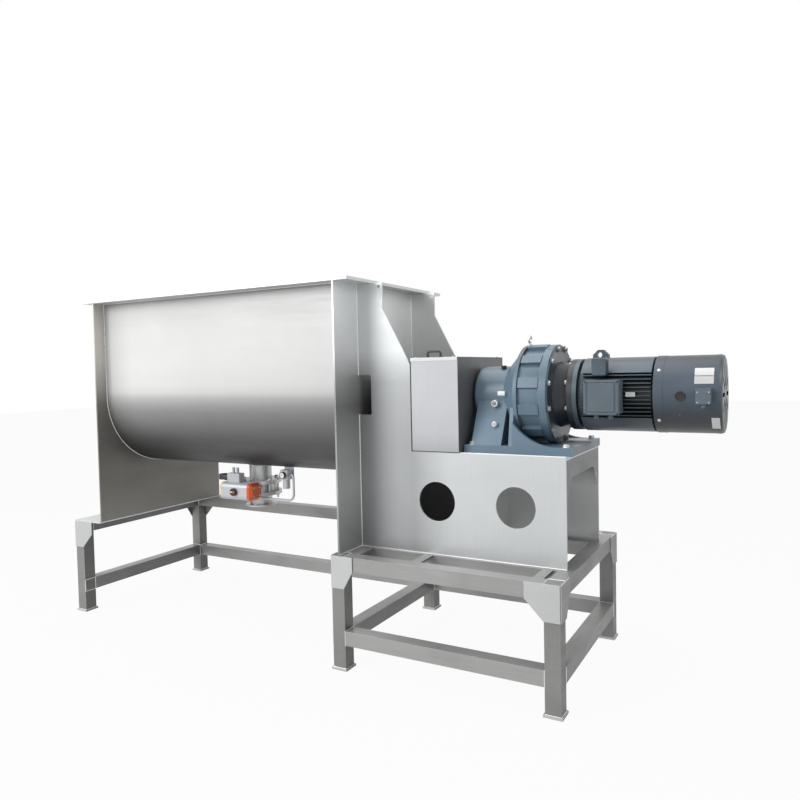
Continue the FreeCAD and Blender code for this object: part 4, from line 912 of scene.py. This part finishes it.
def cowlDetails(values, hole, plates):
    radius = high["fan_cowl"].y
    x0, x1, proud = low["fan_cowl"].x, high["fan_cowl"].x, values["proud"]
    bm = bmesh.new()
    drumBand(bm, x0, values["band"], radius, proud)
    drumBand(bm, x1 - values["backPlace"], values["backBand"], radius, proud * 0.6)
    finishPiece("cowl_bands", bm, "cowl")
    bm = bmesh.new()
    for rise in (values["screwRise"], -values["screwRise"]):
        place, out = onDrum(x0 + values["screwAlong"], radius + proud, shaftZ + rise)
        hexBolt(bm, place, out, values["screw"])
        hexBolt(bm, (place.x, -place.y, place.z), (0, -out.y, out.z), values["screw"])
    finishPiece("cowl_screws", bm, "zinc")
    bm = bmesh.new()
    wide = hole["hole"]
    spun(bm, ((wide + 0.003, -0.004), (wide + 0.003, 0.003), (wide, 0.005), (wide * 0.8, 0.0045),
              (wide * 0.72, 0.002), (0, 0.002)), (endFace + hole["along"], -radius, shaftZ + hole["rise"]),
         (0, -1, 0), 40)
    finishPiece("cowl_grommet", bm, "black")
    bm = bmesh.new()
    tag = (plates["tagAlong"], plates["tagRow"], plates["tagThick"])
    for along, row, thick in [(plates["along"], row, plates["thick"]) for row in plates["rows"]] + [tag]:
        curvedPlate(bm, endFace + along[0], endFace + along[1], *row, radius + 0.0002, thick)
    finishPiece("cowl_blank_plates", bm, "label")


fanBox = {"tall": 0.062, "rise": 0.004, "lid": 0.003, "screw": 0.0032, "inset": 0.007}


def fanBoxDetails(values):
    box0, box1 = low["fan_terminal_box"], high["fan_terminal_box"]
    centre = Vector(((box0.x + box1.x) / 2, box0.y, (box0.z + box1.z) / 2 + values["rise"]))
    wide, tall, lid, inset = box1.x - box0.x - 0.004, values["tall"], values["lid"], values["inset"]
    bm = bmesh.new()
    blankPlate(bm, centre, wide, tall, lid, 0.006, 0.001)
    finishPiece("fan_box_lid", bm, "box")
    bm = bmesh.new()
    for sx, sz in signs:
        place = centre + Vector((sx * (wide / 2 - inset), -lid, sz * (tall / 2 - inset)))
        capScrew(bm, place, (0, -1, 0), values["screw"])
    finishPiece("fan_box_screws", bm, "zinc")


terminalBox = {"panel": (0.76, 0.84), "panelThick": 0.0045, "edge": 0.010, "edgeThick": 0.0035, "screw": 0.0038,
               "inset": 0.009}


def terminalBoxDetails(values):
    box0, box1 = low["terminal_box"], high["terminal_box"]
    side = box1.x - box0.x      # the lid is square, at the top of the box
    centre = Vector(((box0.x + box1.x) / 2, box0.y, box1.z - side / 2))
    size, thick, edge, inset = side - 0.006, values["edgeThick"], values["edge"], values["inset"]
    bm = bmesh.new()
    blankPlate(bm, centre, size * values["panel"][0], size * values["panel"][1],
               values["panelThick"], 0.010, 0.002)
    for way in (-1, 1):
        for reach, wide, tall in (((way * (size / 2 - 0.006), 0, 0), edge, size),
                                  ((0, 0, way * (size / 2 - 0.005)), size, edge - 0.001)):
            blankPlate(bm, centre + Vector(reach), wide, tall, thick, 0.003, 0.001)
    finishPiece("terminal_box_lid_panel", bm, "box")
    bm = bmesh.new()
    for sx, sz in signs:
        place = centre + Vector((sx * (size / 2 - inset), 0.0001 - thick, sz * (size / 2 - inset)))
        capScrew(bm, place, (0, -1, 0), values["screw"])
    finishPiece("terminal_box_screws", bm, "box")


stator = {"pad": (1.336, -0.150, 1.640), "padSize": (0.072, 0.092, 0.056), "tagAlong": 1.484, "tagRise": 0.006,
          "tagSize": (0.045, 0.022, 0.001)}


def statorDetails(values):
    bm = bmesh.new()
    place = Vector(values["pad"]) + Vector((endFace, 0, 0))
    blankPlate(bm, place, *values["padSize"], 0.010, 0.004)
    finishPiece("stator_pad", bm, "motor")
    bm = bmesh.new()
    place = (endFace + values["tagAlong"], low["motor_body"].y, shaftZ + values["tagRise"])
    blankPlate(bm, place, *values["tagSize"], 0.002, 0.0003)
    finishPiece("stator_blank_tag", bm, "paleDial")


cowlDetails(cowl, grommet, cowlPlates)
fanBoxDetails(fanBox)
terminalBoxDetails(terminalBox)
statorDetails(stator)
print("motor details ready")


actuator = {"screw": 0.0045, "half": 0.027, "sunk": 0.001, "pointer": (0.040, 0.010, 0.005)}


def actuatorDetails(values):
    bm = bmesh.new()
    centre, half = middleOf("actuator_caps"), values["half"]
    for x, toward in ((low["actuator_caps"].x, -1), (high["actuator_caps"].x, 1)):
        for sy, sz in signs:
            place = (x - toward * values["sunk"], centre.y + sy * half, centre.z + sz * half)
            capScrew(bm, place, (toward, 0, 0), values["screw"])
    finishPiece("actuator_cap_screws", bm, "zinc")
    bm = bmesh.new()
    centre = middleOf("position_indicator")
    blankPlate(bm, (centre.x, low["position_indicator"].y, centre.z), *values["pointer"],
               0.004, 0.0012)
    finishPiece("indicator_pointer", bm, "caps", "valve")


gauge = {"dial": 0.86, "bezel": 1.02, "deep": 0.014, "ticks": (-60, 0, 60), "tickCircle": 0.62, "tick": 0.0008,
         "needle": (-0.3, 0.45), "needleRadius": 0.0006}


def gaugeDetails(values):
    body = nodes["air_service_units"].data
    front = min(v.co.y for v in body.vertices)
    face = [v.co for v in body.vertices if v.co.y < front + 0.001]
    x = (min(p.x for p in face) + max(p.x for p in face)) / 2
    z = (min(p.z for p in face) + max(p.z for p in face)) / 2
    size = (max(p.x for p in face) - min(p.x for p in face)) / 2
    dial, bezel, tick = size * values["dial"], size * values["bezel"], values["tick"]
    bm = bmesh.new()
    spun(bm, ((dial, 0.001), (dial, 0.003), (size * 0.96, 0.003), (bezel, 0.001), (bezel, -values["deep"])),
         (x, front, z), (0, -1, 0), 36)
    for degrees in values["ticks"]:
        a, reach = math.radians(degrees + 90), size * values["tickCircle"]
        spun(bm, ((0, 0), (tick, 0), (tick, 0.0006), (0, 0.0006)),
             (x + reach * math.cos(a), front - 0.0014, z + reach * math.sin(a)), (0, -1, 0), 6)
    across, up = values["needle"]
    swept(bm, ((x, front - 0.0018, z), (x + size * across, front - 0.0018, z + size * up)), values["needleRadius"], 6)
    finishPiece("gauge_rim", bm, "black")
    bm = bmesh.new()
    spun(bm, ((size * 0.88, 0.0004), (dial, 0.0010), (0, 0.0010)), (x, front, z), (0, -1, 0), 36)
    finishPiece("gauge_dial", bm, "paleDial")


actuatorDetails(actuator)
gaugeDetails(gauge)
print("valve details ready")


# The camera, the lamps and the floor.

cameraPlace = {"place": (2.3429, -3.6745, 1.6432), "heading": -28.94, "pitch": -2.352, "roll": -1.176,
               "lens": 31.21, "shift": (-0.0100, -0.0016)}


def makeCamera(values):
    heading, pitch, roll = (math.radians(values[key]) for key in ("heading", "pitch", "roll"))
    forward = Vector((math.sin(heading) * math.cos(pitch), math.cos(heading) * math.cos(pitch), math.sin(pitch)))
    right = Vector((math.cos(heading), -math.sin(heading), 0))
    up = right.cross(forward)
    tiltedRight = math.cos(roll) * right + math.sin(roll) * up
    tiltedUp = -math.sin(roll) * right + math.cos(roll) * up
    data = bpy.data.cameras.new("camera")
    data.sensor_width = 36.0
    data.lens = values["lens"]
    data.shift_x, data.shift_y = values["shift"]
    data.clip_end = 100.0
    camera = bpy.data.objects.new("camera", data)
    scene.collection.objects.link(camera)
    turn = Matrix((tiltedRight, tiltedUp, -forward)).transposed().to_4x4()
    camera.matrix_world = Matrix.Translation(values["place"]) @ turn
    scene.camera = camera


lamps = {
    "key": {"place": (-3.6, -6.0, 4.4), "size": (4.0, 3.5), "watts": 358.0},
    "top": {"place": (-0.5, 0.0, 6.8), "size": (6.0, 4.0), "watts": 150.0},
    "right": {"place": (5.5, -1.5, 5.0), "size": (3.0, 3.0), "watts": 95.0},
}


def makeLamps(values):
    target = Vector((0.0, 0.0, 1.1))
    for name, lamp in values.items():
        data = bpy.data.lights.new(name, "AREA")
        data.shape = "RECTANGLE"
        data.size, data.size_y = lamp["size"]
        data.energy = lamp["watts"]
        light = bpy.data.objects.new(name, data)
        scene.collection.objects.link(light)
        light.location = lamp["place"]
        light.rotation_euler = (target - Vector(lamp["place"])).to_track_quat("-Z", "Y").to_euler()


studio = {"size": 60.0, "tone": 0.55, "whiten": 0.95, "sky": 0.40}


def backdropRays(tree):
    # 1 for the rays that should see the white studio: camera, mirror and glass rays.
    path = tree.nodes.new("ShaderNodeLightPath")
    seen = calculate(tree, "MAXIMUM", path.outputs["Is Camera Ray"], path.outputs["Is Glossy Ray"])
    return calculate(tree, "MAXIMUM", seen, path.outputs["Is Transmission Ray"])


def makeFloor(values):
    half = values["size"] / 2
    mesh = bpy.data.meshes.new("floor")
    mesh.from_pydata([(-half, -half, 0), (half, -half, 0), (half, half, 0), (-half, half, 0)], [], [(0, 1, 2, 3)])
    floor = bpy.data.objects.new("floor", mesh)
    scene.collection.objects.link(floor)
    material = bpy.data.materials.new("studio floor")
    tree = clearedTree(material)
    output = tree.nodes.new("ShaderNodeOutputMaterial")
    matt = tree.nodes.new("ShaderNodeBsdfDiffuse")
    matt.inputs["Color"].default_value = (values["tone"],) * 3 + (1,)
    white = tree.nodes.new("ShaderNodeEmission")
    mixed = tree.nodes.new("ShaderNodeMixShader")
    tree.links.new(calculate(tree, "MULTIPLY", backdropRays(tree), values["whiten"]), mixed.inputs[0])
    tree.links.new(matt.outputs[0], mixed.inputs[1])
    tree.links.new(white.outputs[0], mixed.inputs[2])
    tree.links.new(mixed.outputs[0], output.inputs[0])
    mesh.materials.append(material)


def makeSky(values):
    world = bpy.data.worlds.new("studio")
    scene.world = world
    tree = clearedTree(world)
    output = tree.nodes.new("ShaderNodeOutputWorld")
    sky = tree.nodes.new("ShaderNodeBackground")
    sky.inputs["Color"].default_value = (1, 1, 1, 1)
    sky.inputs["Strength"].default_value = values["sky"]
    white = tree.nodes.new("ShaderNodeBackground")
    white.inputs["Color"].default_value = (1, 1, 1, 1)
    mixed = tree.nodes.new("ShaderNodeMixShader")
    tree.links.new(backdropRays(tree), mixed.inputs[0])
    tree.links.new(sky.outputs[0], mixed.inputs[1])
    tree.links.new(white.outputs[0], mixed.inputs[2])
    tree.links.new(mixed.outputs[0], output.inputs[0])


makeCamera(cameraPlace)
makeLamps(lamps)
makeFloor(studio)
makeSky(studio)
scene.view_settings.view_transform = "Standard"
print("studio ready")
